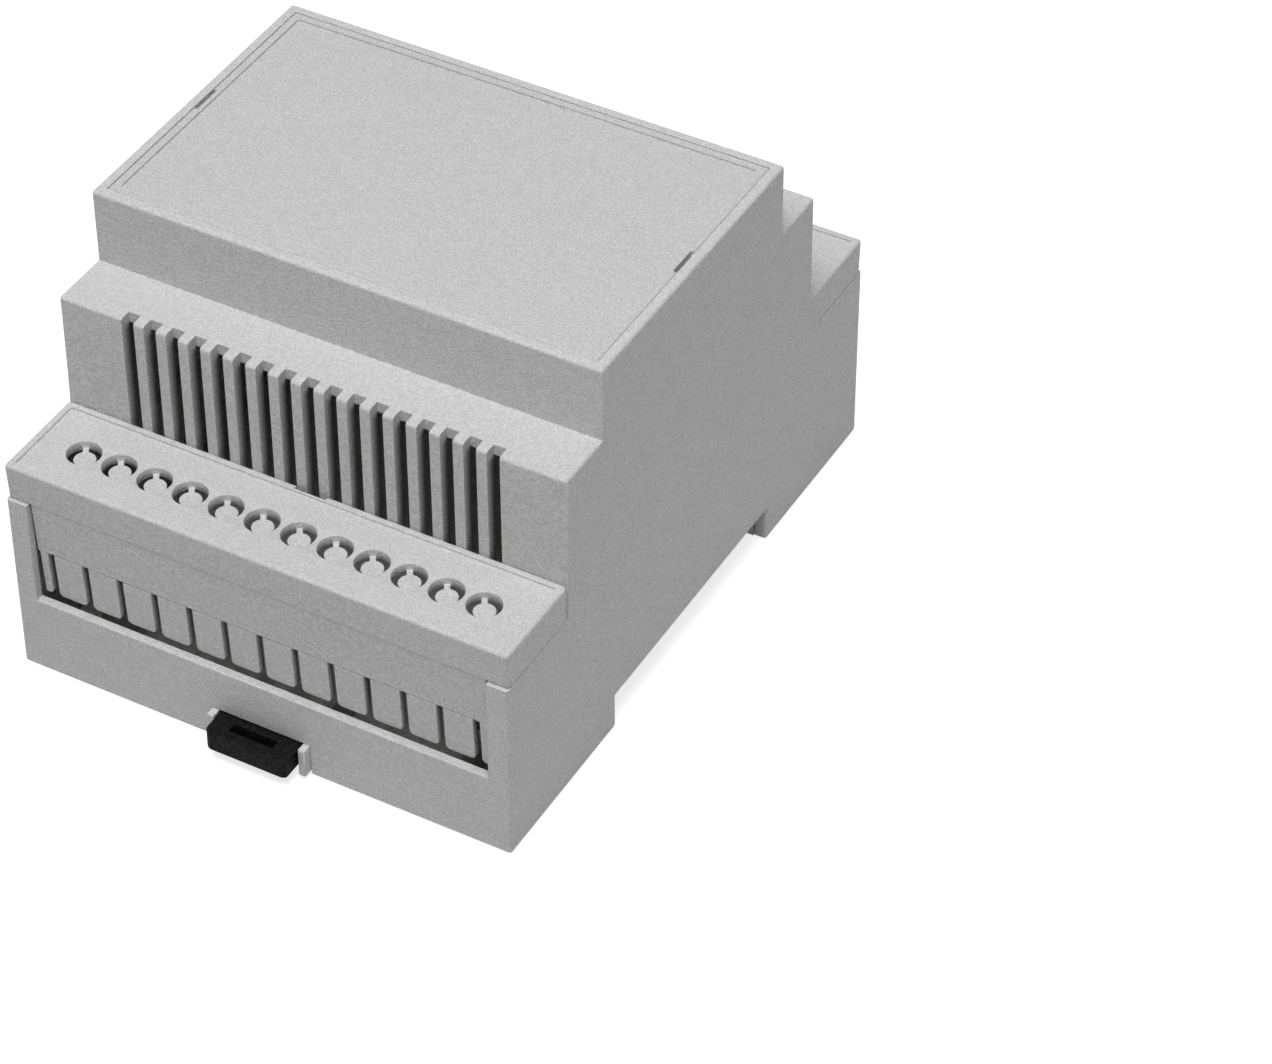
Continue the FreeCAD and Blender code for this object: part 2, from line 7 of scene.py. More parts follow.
import logging
import math
from dataclasses import dataclass, replace
from enum import Enum
from typing import Callable, Sequence

import bmesh
import bpy
from mathutils import Matrix, Vector

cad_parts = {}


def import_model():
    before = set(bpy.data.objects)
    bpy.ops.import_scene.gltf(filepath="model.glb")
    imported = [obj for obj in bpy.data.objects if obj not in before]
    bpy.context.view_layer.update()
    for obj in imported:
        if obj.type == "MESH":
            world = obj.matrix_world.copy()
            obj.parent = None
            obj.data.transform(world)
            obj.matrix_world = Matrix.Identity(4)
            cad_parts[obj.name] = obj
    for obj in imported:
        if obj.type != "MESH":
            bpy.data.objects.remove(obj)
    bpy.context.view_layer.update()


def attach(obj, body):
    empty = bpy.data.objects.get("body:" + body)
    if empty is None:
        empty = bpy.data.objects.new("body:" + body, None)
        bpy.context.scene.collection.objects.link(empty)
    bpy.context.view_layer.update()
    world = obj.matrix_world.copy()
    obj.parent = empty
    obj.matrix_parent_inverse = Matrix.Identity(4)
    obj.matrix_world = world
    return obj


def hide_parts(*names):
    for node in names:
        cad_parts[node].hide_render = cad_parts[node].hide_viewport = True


LOG = logging.getLogger("din_rail_enclosure")
METRES = 0.001  # a millimetre, in metres
PAST = 1.0  # how far a tool runs past the face that it cuts
NEAR = 0.01  # how close two places are that count as one
BENT = 20.0  # the smallest angle, in degrees, of a corner that is rounded
SHARP = 40.0  # the smallest angle, in degrees, of an edge that counts as sharp
COLOR_A, COLOR_B, COLOR_OUT = 6, 7, 2  # the colour sockets of a Mix node

Pair = tuple[float, float]
Triple = tuple[float, float, float]


class Axis(Enum):
    """Direction along which an outline is drawn out."""

    X = "x"
    Y = "y"
    Z = "z"

    def point(self, u: float, v: float, along: float) -> Triple:
        """Place a point of an outline in space.

        Args:
            u: The outline's first coordinate.
            v: The outline's second coordinate.
            along: The distance along this axis.

        Returns:
            The point's x, y and z.
        """
        if self is Axis.X:
            return along, u, v
        if self is Axis.Y:
            return u, along, v
        return u, v, along


class Work(Enum):
    """What a tool does to the piece that it meets."""

    CUT = "DIFFERENCE"
    ADD = "UNION"


def arc(centre: Pair, radius: float, first: float, last: float, steps: int = 6) -> list[Pair]:
    """Points along an arc.

    Args:
        centre: The arc's centre.
        radius: Its radius.
        first: The angle of its first point, in degrees.
        last: The angle of its last point, in degrees.
        steps: The number of straight pieces that it is made of.

    Returns:
        The points in order, both ends included.
    """
    angles = [math.radians(first + (last - first) * step / steps) for step in range(steps + 1)]
    return [(centre[0] + radius * math.cos(a), centre[1] + radius * math.sin(a)) for a in angles]


def rounded_rectangle(half_u: float, half_v: float, radius: float) -> list[Pair]:
    """Outline of a rectangle with round corners, centred on the origin.

    Args:
        half_u: Half its size along the first coordinate.
        half_v: Half its size along the second coordinate.
        radius: The radius of its corners.

    Returns:
        The outline's points.
    """
    u, v = half_u - radius, half_v - radius
    return (arc((u, v), radius, 0, 90) + arc((-u, v), radius, 90, 180)
            + arc((-u, -v), radius, 180, 270) + arc((u, -v), radius, 270, 360))


def mirrored(half: Sequence[Pair]) -> list[Pair]:
    """Complete one half of an outline with its mirror image."""
    return [*half, *((-u, v) for u, v in reversed(half))]


def stretch(side: int, inner: float, outer: float) -> Pair:
    """Return the lowest and highest x of a stretch that lies to one side of the middle."""
    return (inner, outer) if side > 0 else (-outer, -inner)


class RowTree:
    """Geometry Nodes tree that repeats a tool in a straight row and works the row into a mesh."""

    def __init__(self, work: Work) -> None:
        """Build the tree.

        Args:
            work: Whether the row is cut out of the mesh or added to it.
        """
        self.tree = bpy.data.node_groups.new("row_" + work.name.lower(), "GeometryNodeTree")
        face = self.tree.interface
        face.new_socket("Geometry", in_out="OUTPUT", socket_type="NodeSocketGeometry")
        face.new_socket("Geometry", in_out="INPUT", socket_type="NodeSocketGeometry")
        self.tool, self.count, self.step, self.material = (
            face.new_socket(label, in_out="INPUT", socket_type="NodeSocket" + kind).identifier
            for label, kind in (("Tool", "Object"), ("Count", "Int"), ("Step", "Vector"), ("Material", "Material")))
        nodes, links = self.tree.nodes, self.tree.links
        start = nodes.new("NodeGroupInput")
        end = nodes.new("NodeGroupOutput")
        info = nodes.new("GeometryNodeObjectInfo")
        line = nodes.new("GeometryNodeMeshLine")
        line.mode = "OFFSET"
        row = nodes.new("GeometryNodeInstanceOnPoints")
        solid_row = nodes.new("GeometryNodeRealizeInstances")
        join = nodes.new("GeometryNodeMeshBoolean")
        join.operation = work.value
        join.solver = "EXACT"
        realize = nodes.new("GeometryNodeRealizeInstances")
        paint = nodes.new("GeometryNodeSetMaterial")
        links.new(start.outputs["Tool"], info.inputs["Object"])
        links.new(start.outputs["Count"], line.inputs["Count"])
        links.new(start.outputs["Step"], line.inputs["Offset"])
        links.new(line.outputs["Mesh"], row.inputs["Points"])
        links.new(info.outputs["Geometry"], row.inputs["Instance"])
        links.new(row.outputs["Instances"], solid_row.inputs["Geometry"])
        links.new(solid_row.outputs["Geometry"], join.inputs["Mesh 2"])
        target = "Mesh 1" if work is Work.CUT else "Mesh 2"
        links.new(start.outputs["Geometry"], join.inputs[target])
        links.new(join.outputs["Mesh"], realize.inputs["Geometry"])
        links.new(realize.outputs["Geometry"], paint.inputs["Geometry"])
        links.new(start.outputs["Material"], paint.inputs["Material"])
        links.new(paint.outputs["Geometry"], end.inputs["Geometry"])

    def fit(self, target: bpy.types.Object, tool: bpy.types.Object, count: int, step: Triple,
            material: bpy.types.Material) -> None:
        """Put the tree on an object as a modifier.

        Args:
            target: The object that the row is worked into.
            tool: The object that is repeated, at the row's first place.
            count: How many times it stands in the row.
            step: The way from one place to the next.
            material: The material of the result.
        """
        modifier = target.modifiers.new("row", "NODES")
        modifier.node_group = self.tree
        modifier[self.tool] = tool
        modifier[self.count] = count
        modifier[self.step] = step
        modifier[self.material] = material


class Workshop:
    """The row trees, each built once for all pieces."""

    trees: dict[Work, RowTree] = {}

    @classmethod
    def tree(cls, work: Work) -> RowTree:
        """Return the tree for that work, built on first use."""
        if work not in cls.trees:
            cls.trees[work] = RowTree(work)
        return cls.trees[work]


class Solid:
    """A closed mesh in millimetres that is cut, added to and rounded until it is finished."""

    merge_distance: float = 0.004
    flat_angle: float = 0.6
    most_corners: int = 12

    def __init__(self, name: str, points: Sequence[Triple], faces: Sequence[Sequence[int]]) -> None:
        """Make the mesh and turn its faces outwards.

        Args:
            name: The name of its object.
            points: Its corners.
            faces: The corners of each face.
        """
        mesh = bpy.data.meshes.new(name)
        mesh.from_pydata(points, [], faces)
        self.object = bpy.data.objects.new(name, mesh)
        bpy.context.scene.collection.objects.link(self.object)
        self.edit(lambda shape: bmesh.ops.recalc_face_normals(shape, faces=shape.faces))

    @classmethod
    def prism(cls, name: str, outline: Sequence[Pair], axis: Axis, low: float, high: float) -> "Solid":
        """Draw an outline out along an axis.

        Args:
            name: The name of the solid.
            outline: The points of the outline, in order.
            axis: The direction in which it is drawn out.
            low: Where it starts along that axis.
            high: Where it ends.

        Returns:
            The closed solid.
        """
        count = len(outline)
        points = [axis.point(u, v, along) for along in (low, high) for u, v in outline]
        faces = [list(range(count)), list(range(2 * count - 1, count - 1, -1))]
        faces += [[i, i + count, (i + 1) % count + count, (i + 1) % count] for i in range(count)]
        return cls(name, points, faces)

    @classmethod
    def box(cls, name: str, x: Pair, y: Pair, z: Pair) -> "Solid":
        """Make a box from its lowest and highest x, y and z."""
        corners = [(x[0], y[0]), (x[1], y[0]), (x[1], y[1]), (x[0], y[1])]
        return cls.prism(name, corners, Axis.Z, z[0], z[1])

    @classmethod
    def cylinder(cls, name: str, centre: Pair, radius: float, z: Pair, sides: int = 48) -> "Solid":
        """Make an upright cylinder.

        Args:
            name: The name of the solid.
            centre: The x and y of its axis.
            radius: Its radius.
            z: Its lowest and highest z.
            sides: The number of its flat sides.

        Returns:
            The closed solid.
        """
        return cls.prism(name, arc(centre, radius, 0, 360 - 360 / sides, sides - 1), Axis.Z, z[0], z[1])

    def edit(self, change: Callable[[bmesh.types.BMesh], object]) -> "Solid":
        """Change the mesh in place.

        Args:
            change: A function that changes the mesh that it is given.

        Returns:
            This solid.
        """
        shape = bmesh.new()
        shape.from_mesh(self.object.data)
        change(shape)
        shape.to_mesh(self.object.data)
        shape.free()
        return self

    def settle(self) -> "Solid":
        """Turn the effect of the modifiers into the mesh itself."""
        layer = bpy.context.evaluated_depsgraph_get()
        made = bpy.data.meshes.new_from_object(self.object.evaluated_get(layer), depsgraph=layer)
        old = self.object.data
        self.object.modifiers.clear()
        self.object.data = made
        bpy.data.meshes.remove(old)
        return self

    def discard(self) -> None:
        """Remove the solid once its work is done."""
        mesh = self.object.data
        bpy.data.objects.remove(self.object)
        bpy.data.meshes.remove(mesh)

    def work(self, tool: "Solid", work: Work) -> "Solid":
        """Cut a tool out of this solid, or add it.

        Args:
            tool: The other solid, which is used up.
            work: Whether it is cut out or added.

        Returns:
            This solid.
        """
        modifier = self.object.modifiers.new("work", "BOOLEAN")
        modifier.operation = work.value
        modifier.solver = "EXACT"
        modifier.object = tool.object
        self.settle()
        tool.discard()
        return self

    def cut(self, *tools: "Solid") -> "Solid":
        """Cut tools out of this solid."""
        for tool in tools:
            self.work(tool, Work.CUT)
        return self

    def add(self, *tools: "Solid") -> "Solid":
        """Add tools to this solid."""
        for tool in tools:
            self.work(tool, Work.ADD)
        return self

    def repeat(self, tool: "Solid", work: Work, count: int, step: Triple,
               material: bpy.types.Material) -> "Solid":
        """Work a row of tools into this solid.

        Args:
            tool: The tool at the first place of the row, which is used up.
            work: Whether the row is cut out or added.
            count: How many tools stand in the row.
            step: The way from one to the next.
            material: The material of the result.

        Returns:
            This solid.
        """
        Workshop.tree(work).fit(self.object, tool.object, count, step, material)
        self.settle()
        tool.discard()
        return self

    def round_edges(self, radius: float, chosen: Callable[[bmesh.types.BMEdge], bool],
                    segments: int = 4) -> "Solid":
        """Round the edges that a test chooses.

        Args:
            radius: The radius of the rounding.
            chosen: A test that is true for an edge to round.
            segments: The number of faces across the rounding.

        Returns:
            This solid.
        """
        def change(shape: bmesh.types.BMesh) -> None:
            """Round the chosen edges of the mesh."""
            edges = [edge for edge in shape.edges if chosen(edge)]
            bmesh.ops.bevel(shape, geom=edges, offset=radius, offset_type="OFFSET", segments=segments,
                            profile=0.5, affect="EDGES", clamp_overlap=False)

        return self.edit(change)

    def soften(self, radius: float, limit: float = SHARP) -> "Solid":
        """Round every edge that is still sharp, as a mould leaves it.

        Args:
            radius: The radius of the rounding.
            limit: The smallest angle, in degrees, of an edge that counts as sharp.

        Returns:
            This solid.
        """
        def clean(shape: bmesh.types.BMesh) -> None:
            """Merge what lies together or in one plane."""
            bmesh.ops.remove_doubles(shape, verts=shape.verts, dist=self.merge_distance)
            bmesh.ops.dissolve_limit(shape, angle_limit=math.radians(self.flat_angle),
                                     use_dissolve_boundaries=False, verts=shape.verts, edges=shape.edges)

        self.edit(clean)
        modifier = self.object.modifiers.new("soft_edges", "BEVEL")
        modifier.width = radius
        modifier.segments = 2
        modifier.limit_method = "ANGLE"
        modifier.angle_limit = math.radians(limit)
        modifier.use_clamp_overlap = False
        self.settle()

        def divide(shape: bmesh.types.BMesh) -> None:
            """Divide the faces with many corners, which later cuts could tear."""
            many = [face for face in shape.faces if len(face.verts) > self.most_corners]
            bmesh.ops.triangulate(shape, faces=many)

        return self.edit(divide)

    def turn(self, degrees: float) -> "Solid":
        """Turn the solid about the upright axis."""
        self.object.data.transform(Matrix.Rotation(math.radians(degrees), 4, "Z"))
        return self

    def move(self, way: Triple) -> "Solid":
        """Move the solid."""
        self.object.data.transform(Matrix.Translation(way))
        return self

    def finish(self, material: bpy.types.Material) -> bpy.types.Object:
        """Scale the mesh to metres, shade it and give it its material.

        Args:
            material: The material of the whole piece.

        Returns:
            The finished object.
        """
        mesh = self.object.data
        mesh.transform(Matrix.Scale(METRES, 4))
        mesh.shade_smooth()
        mesh.set_sharp_from_angle(angle=math.radians(SHARP))
        modifier = self.object.modifiers.new("flat_faces", "WEIGHTED_NORMAL")
        modifier.weight = 100
        modifier.keep_sharp = True
        self.settle()
        mesh = self.object.data
        mesh.materials.clear()
        mesh.materials.append(material)
        mesh.polygons.foreach_set("material_index", [0] * len(mesh.polygons))
        return self.object


def is_convex(edge: bmesh.types.BMEdge) -> bool:
    """True for an edge that stands out."""
    return edge.is_convex and edge.calc_face_angle(0.0) > math.radians(BENT)


@dataclass(frozen=True)
class Envelope:
    """Sizes that several pieces are fitted to."""

    width: float = 70.0
    depth: float = 90.0
    height: float = 58.0
    side_wall: float = 1.6
    end_wall: float = 1.2
    skin: float = 1.6
    nose_length: float = 44.8
    mid_length: float = 61.4
    mid_height: float = 47.7
    cover_height: float = 31.8
    pillar_height: float = 26.5
    pillar_width: float = 2.9
    sill_height: float = 11.3
    recess_height: float = 5.0
    recess_front: float = 19.5
    recess_rear: float = 19.7
    rim: float = 1.35
    ledge_width: float = 1.6
    panel_thickness: float = 2.0
    edge_radius: float = 0.45
    clip_width: float = 11.7
    clip_gap: float = 0.15
    clip_top: float = 4.65
    clip_bottom: float = 1.4
    cutout_height: float = 4.9
    shelf_play: float = 0.2
    rail_half: float = 17.5
    rail_play: float = 0.2
    rail_thickness: float = 1.0
    peg_width: float = 2.4
    peg_length: float = 2.0
    peg_offset: float = 9.0


@dataclass
class Piece:
    """One moulding of the enclosure: its name, the CAD node that it stands for and its finish."""

    name: str
    node: str
    slot: str
    material: bpy.types.Material
    common: Envelope

    def shape(self) -> Solid:
        """Build the piece in millimetres."""
        raise NotImplementedError

    def make(self) -> bpy.types.Object:
        """Build the piece, finish it and put it on its body.

        Returns:
            The finished object.
        """
        made = self.shape().finish(self.material)
        made.name = self.name
        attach(made, self.node)
        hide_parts(self.node)
        shape = bmesh.new()
        shape.from_mesh(made.data)
        loose = sum(1 for edge in shape.edges if not edge.is_manifold)
        volume = shape.calc_volume() / METRES ** 3
        shape.free()
        LOG.info("%s: %d faces, %.0f mm3, %d open edges", self.name, len(made.data.polygons), volume, loose)
        return made


@dataclass
class Housing(Piece):
    """Main moulding: side walls with feet, stepped walls with vent slots, nose frame and lower end walls."""

    vent_count: int = 17
    vent_margin: float = 9.8
    vent_width: float = 1.7
    vent_edge: float = 0.1
    vent_depth: float = 1.75
    vent_foot: float = 29.0
    ledge_thickness: float = 1.2
    cutout_width: float = 14.1
    cutout_corner: float = 0.5
    window_run: float = 0.2
    opening_run: float = 3.0
    soft_edge: float = 0.06

    def shape(self) -> Solid:
        """Build the stepped shell and cut its openings."""
        c = self.common
        half, end, mid, nose = c.width / 2, c.depth / 2, c.mid_length / 2, c.nose_length / 2
        outline = [
            (-end, 0), (-c.recess_front, 0), (-c.recess_front, c.recess_height),
            (c.recess_rear, c.recess_height), (c.recess_rear, 0), (end, 0),
            (end, c.pillar_height), (mid, c.pillar_height), (mid, c.mid_height),
            (nose, c.mid_height), (nose, c.height), (-nose, c.height),
            (-nose, c.mid_height), (-mid, c.mid_height), (-mid, c.pillar_height), (-end, c.pillar_height),
        ]
        solid = Solid.prism("housing", outline, Axis.X, -half, half)
        solid.round_edges(c.edge_radius, lambda edge: is_convex(edge) and not self.is_foot(edge))
        solid.cut(self.cavity(), *self.windows(), self.clip_cutout())
        self.cut_nose(solid)
        self.cut_vents(solid)
        return solid.soften(self.soft_edge)

    def is_foot(self, edge: bmesh.types.BMEdge) -> bool:
        """True for the edges on which the covers stand, which stay crisp."""
        return all(abs(vertex.co.z - self.common.pillar_height) < NEAR for vertex in edge.verts)

    def cavity(self) -> Solid:
        """The hollow, open below and towards both terminal spaces."""
        c = self.common
        end, mid, nose = c.depth / 2, c.mid_length / 2, c.nose_length / 2
        under_ledge = c.height - c.panel_thickness - self.ledge_thickness
        ceiling = c.mid_height - c.skin
        right = [
            (end - c.end_wall, -PAST), (end - c.end_wall, c.pillar_height + PAST),
            (mid, c.pillar_height + PAST), (mid, c.pillar_height), (mid - c.skin, c.pillar_height),
            (mid - c.skin, ceiling), (nose - c.skin, ceiling), (nose - c.skin, under_ledge),
        ]
        inner = c.width / 2 - c.side_wall
        return Solid.prism("cavity", mirrored(right), Axis.X, -inner, inner)

    def windows(self) -> list[Solid]:
        """The openings above both sills, between the corner pillars."""
        c = self.common
        x = c.width / 2 - c.pillar_width
        end = c.depth / 2
        z = (c.sill_height, c.pillar_height + PAST)
        inner = end - c.end_wall - self.window_run
        spans = ((-end - PAST, -inner), (inner, end + PAST))
        return [Solid.box("window", (-x, x), y, z) for y in spans]

    def clip_cutout(self) -> Solid:
        """The opening in the front wall for the rail clip, with its lower corners rounded."""
        c = self.common
        x, r = self.cutout_width / 2, self.cutout_corner
        right = [(x + r, -PAST)] + arc((x + r, r), r, 270, 180) + [(x, c.cutout_height)]
        end = c.depth / 2
        return Solid.prism("clip_cutout", mirrored(right), Axis.Y, -end - PAST, -end + c.end_wall + PAST / 2)

    def cut_nose(self, solid: Solid) -> None:
        """Cut the panel's seat and the opening inside its ledge.

        Args:
            solid: The housing.
        """
        c = self.common
        x = c.width / 2 - c.rim
        y = c.nose_length / 2 - c.rim
        top = c.height + PAST
        seat = c.height - c.panel_thickness
        inner_x, inner_y = x - c.ledge_width, y - c.ledge_width
        solid.cut(
            Solid.box("seat", (-x, x), (-y, y), (seat, top)),
            Solid.box("opening", (-inner_x, inner_x), (-inner_y, inner_y), (seat - self.opening_run, seat + PAST)),
        )

    def cut_vents(self, solid: Solid) -> None:
        """Cut the vent slots of both stepped walls, with the edges of their mouths eased.

        Args:
            solid: The housing.
        """
        c = self.common
        first = self.vent_margin - c.width / 2
        mid, slot, edge = c.mid_length / 2, self.vent_width / 2, self.vent_edge
        step = (-2 * first / (self.vent_count - 1), 0.0, 0.0)
        mouth = arc((slot + edge, mid - edge), edge, 90, 180, 4)
        right = [(slot + edge, mid + PAST), *mouth, (slot, mid - self.vent_depth)]
        for side in (-1, 1):
            vent = Solid.prism("vent", [(first + u, side * v) for u, v in mirrored(right)], Axis.Z,
                               self.vent_foot, c.mid_height + PAST)
            solid.repeat(vent, Work.CUT, self.vent_count, step, self.material)


@dataclass
class FrontPanel(Piece):
    """Snap-in panel in the top of the nose, with a shallow label field and four legs."""

    gap: float = 0.06
    pry_length: float = 4.4
    pry_depth: float = 0.5
    pry_height: float = 1.2
    label_border: float = 1.1
    label_depth: float = 0.35
    label_corner: float = 0.3
    leg_margin: float = 13.5
    leg_width: float = 7.0
    leg_thickness: float = 1.2
    leg_length: float = 7.0
    leg_gap: float = 0.2
    leg_root: float = 0.5
    soft_edge: float = 0.07

    def shape(self) -> Solid:
        """Build the plate with its label field, notches and legs."""
        c = self.common
        x = c.width / 2 - c.rim - self.gap
        y = c.nose_length / 2 - c.rim - self.gap
        low = c.height - c.panel_thickness
        plate = Solid.box("front_panel", (-x, x), (-y, y), (low, c.height))
        plate.round_edges(c.edge_radius / 2, lambda edge: min(v.co.z for v in edge.verts) > c.height - NEAR, 3)
        field = rounded_rectangle(x - self.label_border, y - self.label_border, self.label_corner)
        plate.cut(Solid.prism("label_field", field, Axis.Z, c.height - self.label_depth, c.height + PAST))
        notch_y = (-self.pry_length / 2, self.pry_length / 2)
        notch_z = (c.height - self.pry_height, c.height + PAST)
        plate.cut(Solid.box("notch", (x - self.pry_depth, x + PAST), notch_y, notch_z),
                  Solid.box("notch", (-x - PAST, -x + self.pry_depth), notch_y, notch_z))
        face = c.nose_length / 2 - c.rim - c.ledge_width - self.leg_gap
        first = self.leg_margin - c.width / 2
        leg_x = (first - self.leg_width / 2, first + self.leg_width / 2)
        leg_z = (low - self.leg_length, low + self.leg_root)
        for leg_y in ((-face, -face + self.leg_thickness), (face - self.leg_thickness, face)):
            leg = Solid.box("leg", leg_x, leg_y, leg_z)
            plate.repeat(leg, Work.ADD, 2, (-2 * first, 0.0, 0.0), self.material)
        return plate.soften(self.soft_edge)


@dataclass
class TerminalCover(Piece):
    """Cap over a terminal space: plate with knock-out holes and a leaning front skin with break-off tabs."""

    turned: bool = False
    seam_gap: float = 0.06
    foot_gap: float = 0.12
    inset: float = 0.03
    setback: float = 0.25
    slope: float = 0.055
    front_skin: float = 1.2
    band_step: float = 0.1
    plate: float = 1.75
    border: float = 1.0
    recess: float = 0.35
    rear_corner: float = 0.6
    notch_width: float = 4.4
    notch_strip: float = 0.3
    hole_count: int = 12
    hole_margin: float = 7.06
    hole_radius: float = 2.2
    hole_line: float = 6.8
    disc_radius: float = 1.4
    disc_thickness: float = 0.45
    web_width: float = 0.75
    web_turn: float = 30.0
    tab_count: int = 12
    tab_margin: float = 1.8
    tab_slot: float = 0.95
    tab_height: float = 6.8
    tab_gap: float = 0.75
    tab_corner: float = 0.6
    score_depth: float = 0.15
    band_gap: float = 0.3
    strip_gap: float = 0.25
    skirt_relief: float = 0.02
    tongue_width: float = 6.0
    tongue_thickness: float = 1.2
    tongue_length: float = 11.5
    tongue_gap: float = 0.2
    soft_edge: float = 0.08

    def face(self, z: float) -> float:
        """Return how far out the leaning front skin stands at a height."""
        c = self.common
        return c.depth / 2 - self.setback - self.slope * (c.cover_height - z)

    def shape(self) -> Solid:
        """Build the cap, the skirt with its tabs and the two tongues."""
        cap = self.cap()
        cap.add(self.skirt(), *self.tongues())
        return cap.turn(180) if self.turned else cap

    def cap(self) -> Solid:
        """The hollow cap with its top field, pry notch and row of knock-out holes."""
        c = self.common
        half = c.width / 2 - self.inset
        back, front = c.mid_length / 2 + self.seam_gap, c.depth / 2 - self.setback
        foot, underside = c.pillar_height + self.foot_gap, c.cover_height - self.plate
        outline = [(-back, foot), (-back, c.cover_height), (-front, c.cover_height), (-self.face(foot), foot)]
        cap = Solid.prism("cap", outline, Axis.X, -half, half)

        def rear_upright(edge: bmesh.types.BMEdge) -> bool:
            """True for the two upright edges at the back."""
            first, last = edge.verts[0].co, edge.verts[1].co
            return abs(first.z - last.z) > 1 and max(first.y, last.y) > -back - NEAR

        def outer(edge: bmesh.types.BMEdge) -> bool:
            """True for the other outer edges above the foot."""
            first, last = edge.verts[0].co, edge.verts[1].co
            behind = min(first.y, last.y) > -back - self.rear_corner - NEAR
            return (max(first.z, last.z) > foot + NEAR and not (abs(first.z - last.z) > 1 and behind)
                    and edge.calc_face_angle(0.0) > math.radians(SHARP))

        cap.round_edges(self.rear_corner, rear_upright)
        cap.round_edges(c.edge_radius, outer)
        inner = half - c.side_wall
        inside = [
            (-back + PAST, foot - PAST), (-back + PAST, underside),
            (-(self.face(underside) - self.front_skin), underside),
            (-(self.face(foot - PAST) - self.front_skin), foot - PAST),
        ]
        x, y = half - self.border, (-front + self.border, -back - self.border)
        cap.cut(
            Solid.prism("cap_inside", inside, Axis.X, -inner, inner),
            Solid.box("top_field", (-x, x), y, (c.cover_height - self.recess, c.cover_height + PAST)),
            Solid.box("pry_notch", (-self.notch_width / 2, self.notch_width / 2),
                      (-back - self.border + self.notch_strip, -back + PAST),
                      (underside - PAST, c.cover_height + PAST)),
        )
        across = self.hole_margin - c.width / 2
        step = (-2 * across / (self.hole_count - 1), 0.0, 0.0)
        cap.repeat(self.knock_out(across, underside), Work.CUT, self.hole_count, step, self.material)
        return cap.soften(self.soft_edge)

    def knock_out(self, across: float, underside: float) -> Solid:
        """The tool for a screw hole that leaves a thin disc held by two webs.

        Args:
            across: The x of the first hole.
            underside: The z of the plate's lower face.

        Returns:
            The tool at the first hole.
        """
        c = self.common
        along = self.hole_line - (c.depth / 2 - self.setback)
        tool = Solid.cylinder("hole", (across, along), self.hole_radius, (underside - PAST, c.cover_height + PAST))
        kept = (underside - 2 * PAST, underside + self.disc_thickness)
        flank, reach = self.web_width / 2, self.hole_radius + PAST
        web = Solid.box("web", (-flank, flank), (-reach, reach), kept)
        return tool.cut(
            Solid.cylinder("disc", (across, along), self.disc_radius, kept, 40),
            web.turn(self.web_turn).move((across, along, 0.0)),
        )

    def skirt(self) -> Solid:
        """The leaning skin in the window, with its comb of break-off tabs and the score line above them."""
        c = self.common
        foot = c.sill_height + self.tab_gap
        top = foot + self.tab_height
        root = c.pillar_height + 2 * PAST
        half = c.width / 2 - c.pillar_width - self.band_gap
        outline = [
            (-(self.face(root) - self.band_step), root), (-(self.face(foot) - self.band_step), foot),
            (-(self.face(foot) - self.front_skin + self.skirt_relief), foot),
            (-(self.face(root) - self.front_skin + self.skirt_relief), root),
        ]
        skirt = Solid.prism("skirt", outline, Axis.X, -half, half)
        start = self.tab_margin - half
        step = (-2 * start / self.tab_count, 0.0, 0.0)
        skirt.repeat(self.tab_slot_tool(start, foot, top), Work.CUT, self.tab_count + 1, step, self.material)
        for side in (-1, 1):
            x = stretch(side, half - self.strip_gap, half + PAST)
            skirt.cut(Solid.box("strip_end", x, (-c.depth, 0), (foot - PAST, top)))
        skirt.soften(self.soft_edge)
        out, depth = self.face(top) - self.band_step, self.score_depth
        groove = [(-(out + depth), top - 2 * depth), (-(out - depth), top), (-(out + depth), top + 2 * depth)]
        return skirt.cut(Solid.prism("score_line", groove, Axis.X, start, -start))

    def tab_slot_tool(self, start: float, foot: float, top: float) -> Solid:
        """The tool between two tabs, which also rounds their lower corners.

        Args:
            start: The x of the first slot.
            foot: The z of the tabs' lower ends.
            top: The z of the slots' upper ends.

        Returns:
            The tool at the first slot.
        """
        half, r = self.tab_slot / 2, self.tab_corner
        right = [(half + r, foot - PAST)] + arc((half + r, foot + r), r, 270, 180) + [(half, top)]
        outline = [(start + u, v) for u, v in mirrored(right)]
        end = self.common.depth / 2
        return Solid.prism("tab_slot", outline, Axis.Y, -end - PAST, -end + 5 * PAST)

    def tongues(self) -> list[Solid]:
        """The two tongues that guide the cap between the housing's side walls."""
        c = self.common
        outer = c.width / 2 - c.side_wall - self.tongue_gap
        middle = -(c.mid_length / 2 + self.seam_gap + c.depth / 2 - self.setback) / 2
        y = (middle - self.tongue_width / 2, middle + self.tongue_width / 2)
        underside = c.cover_height - c.skin
        z = (underside - self.tongue_length, underside + c.skin / 2)
        spans = ((-outer, -outer + self.tongue_thickness), (outer - self.tongue_thickness, outer))
        return [Solid.box("tongue", x, y, z).soften(self.soft_edge) for x in spans]


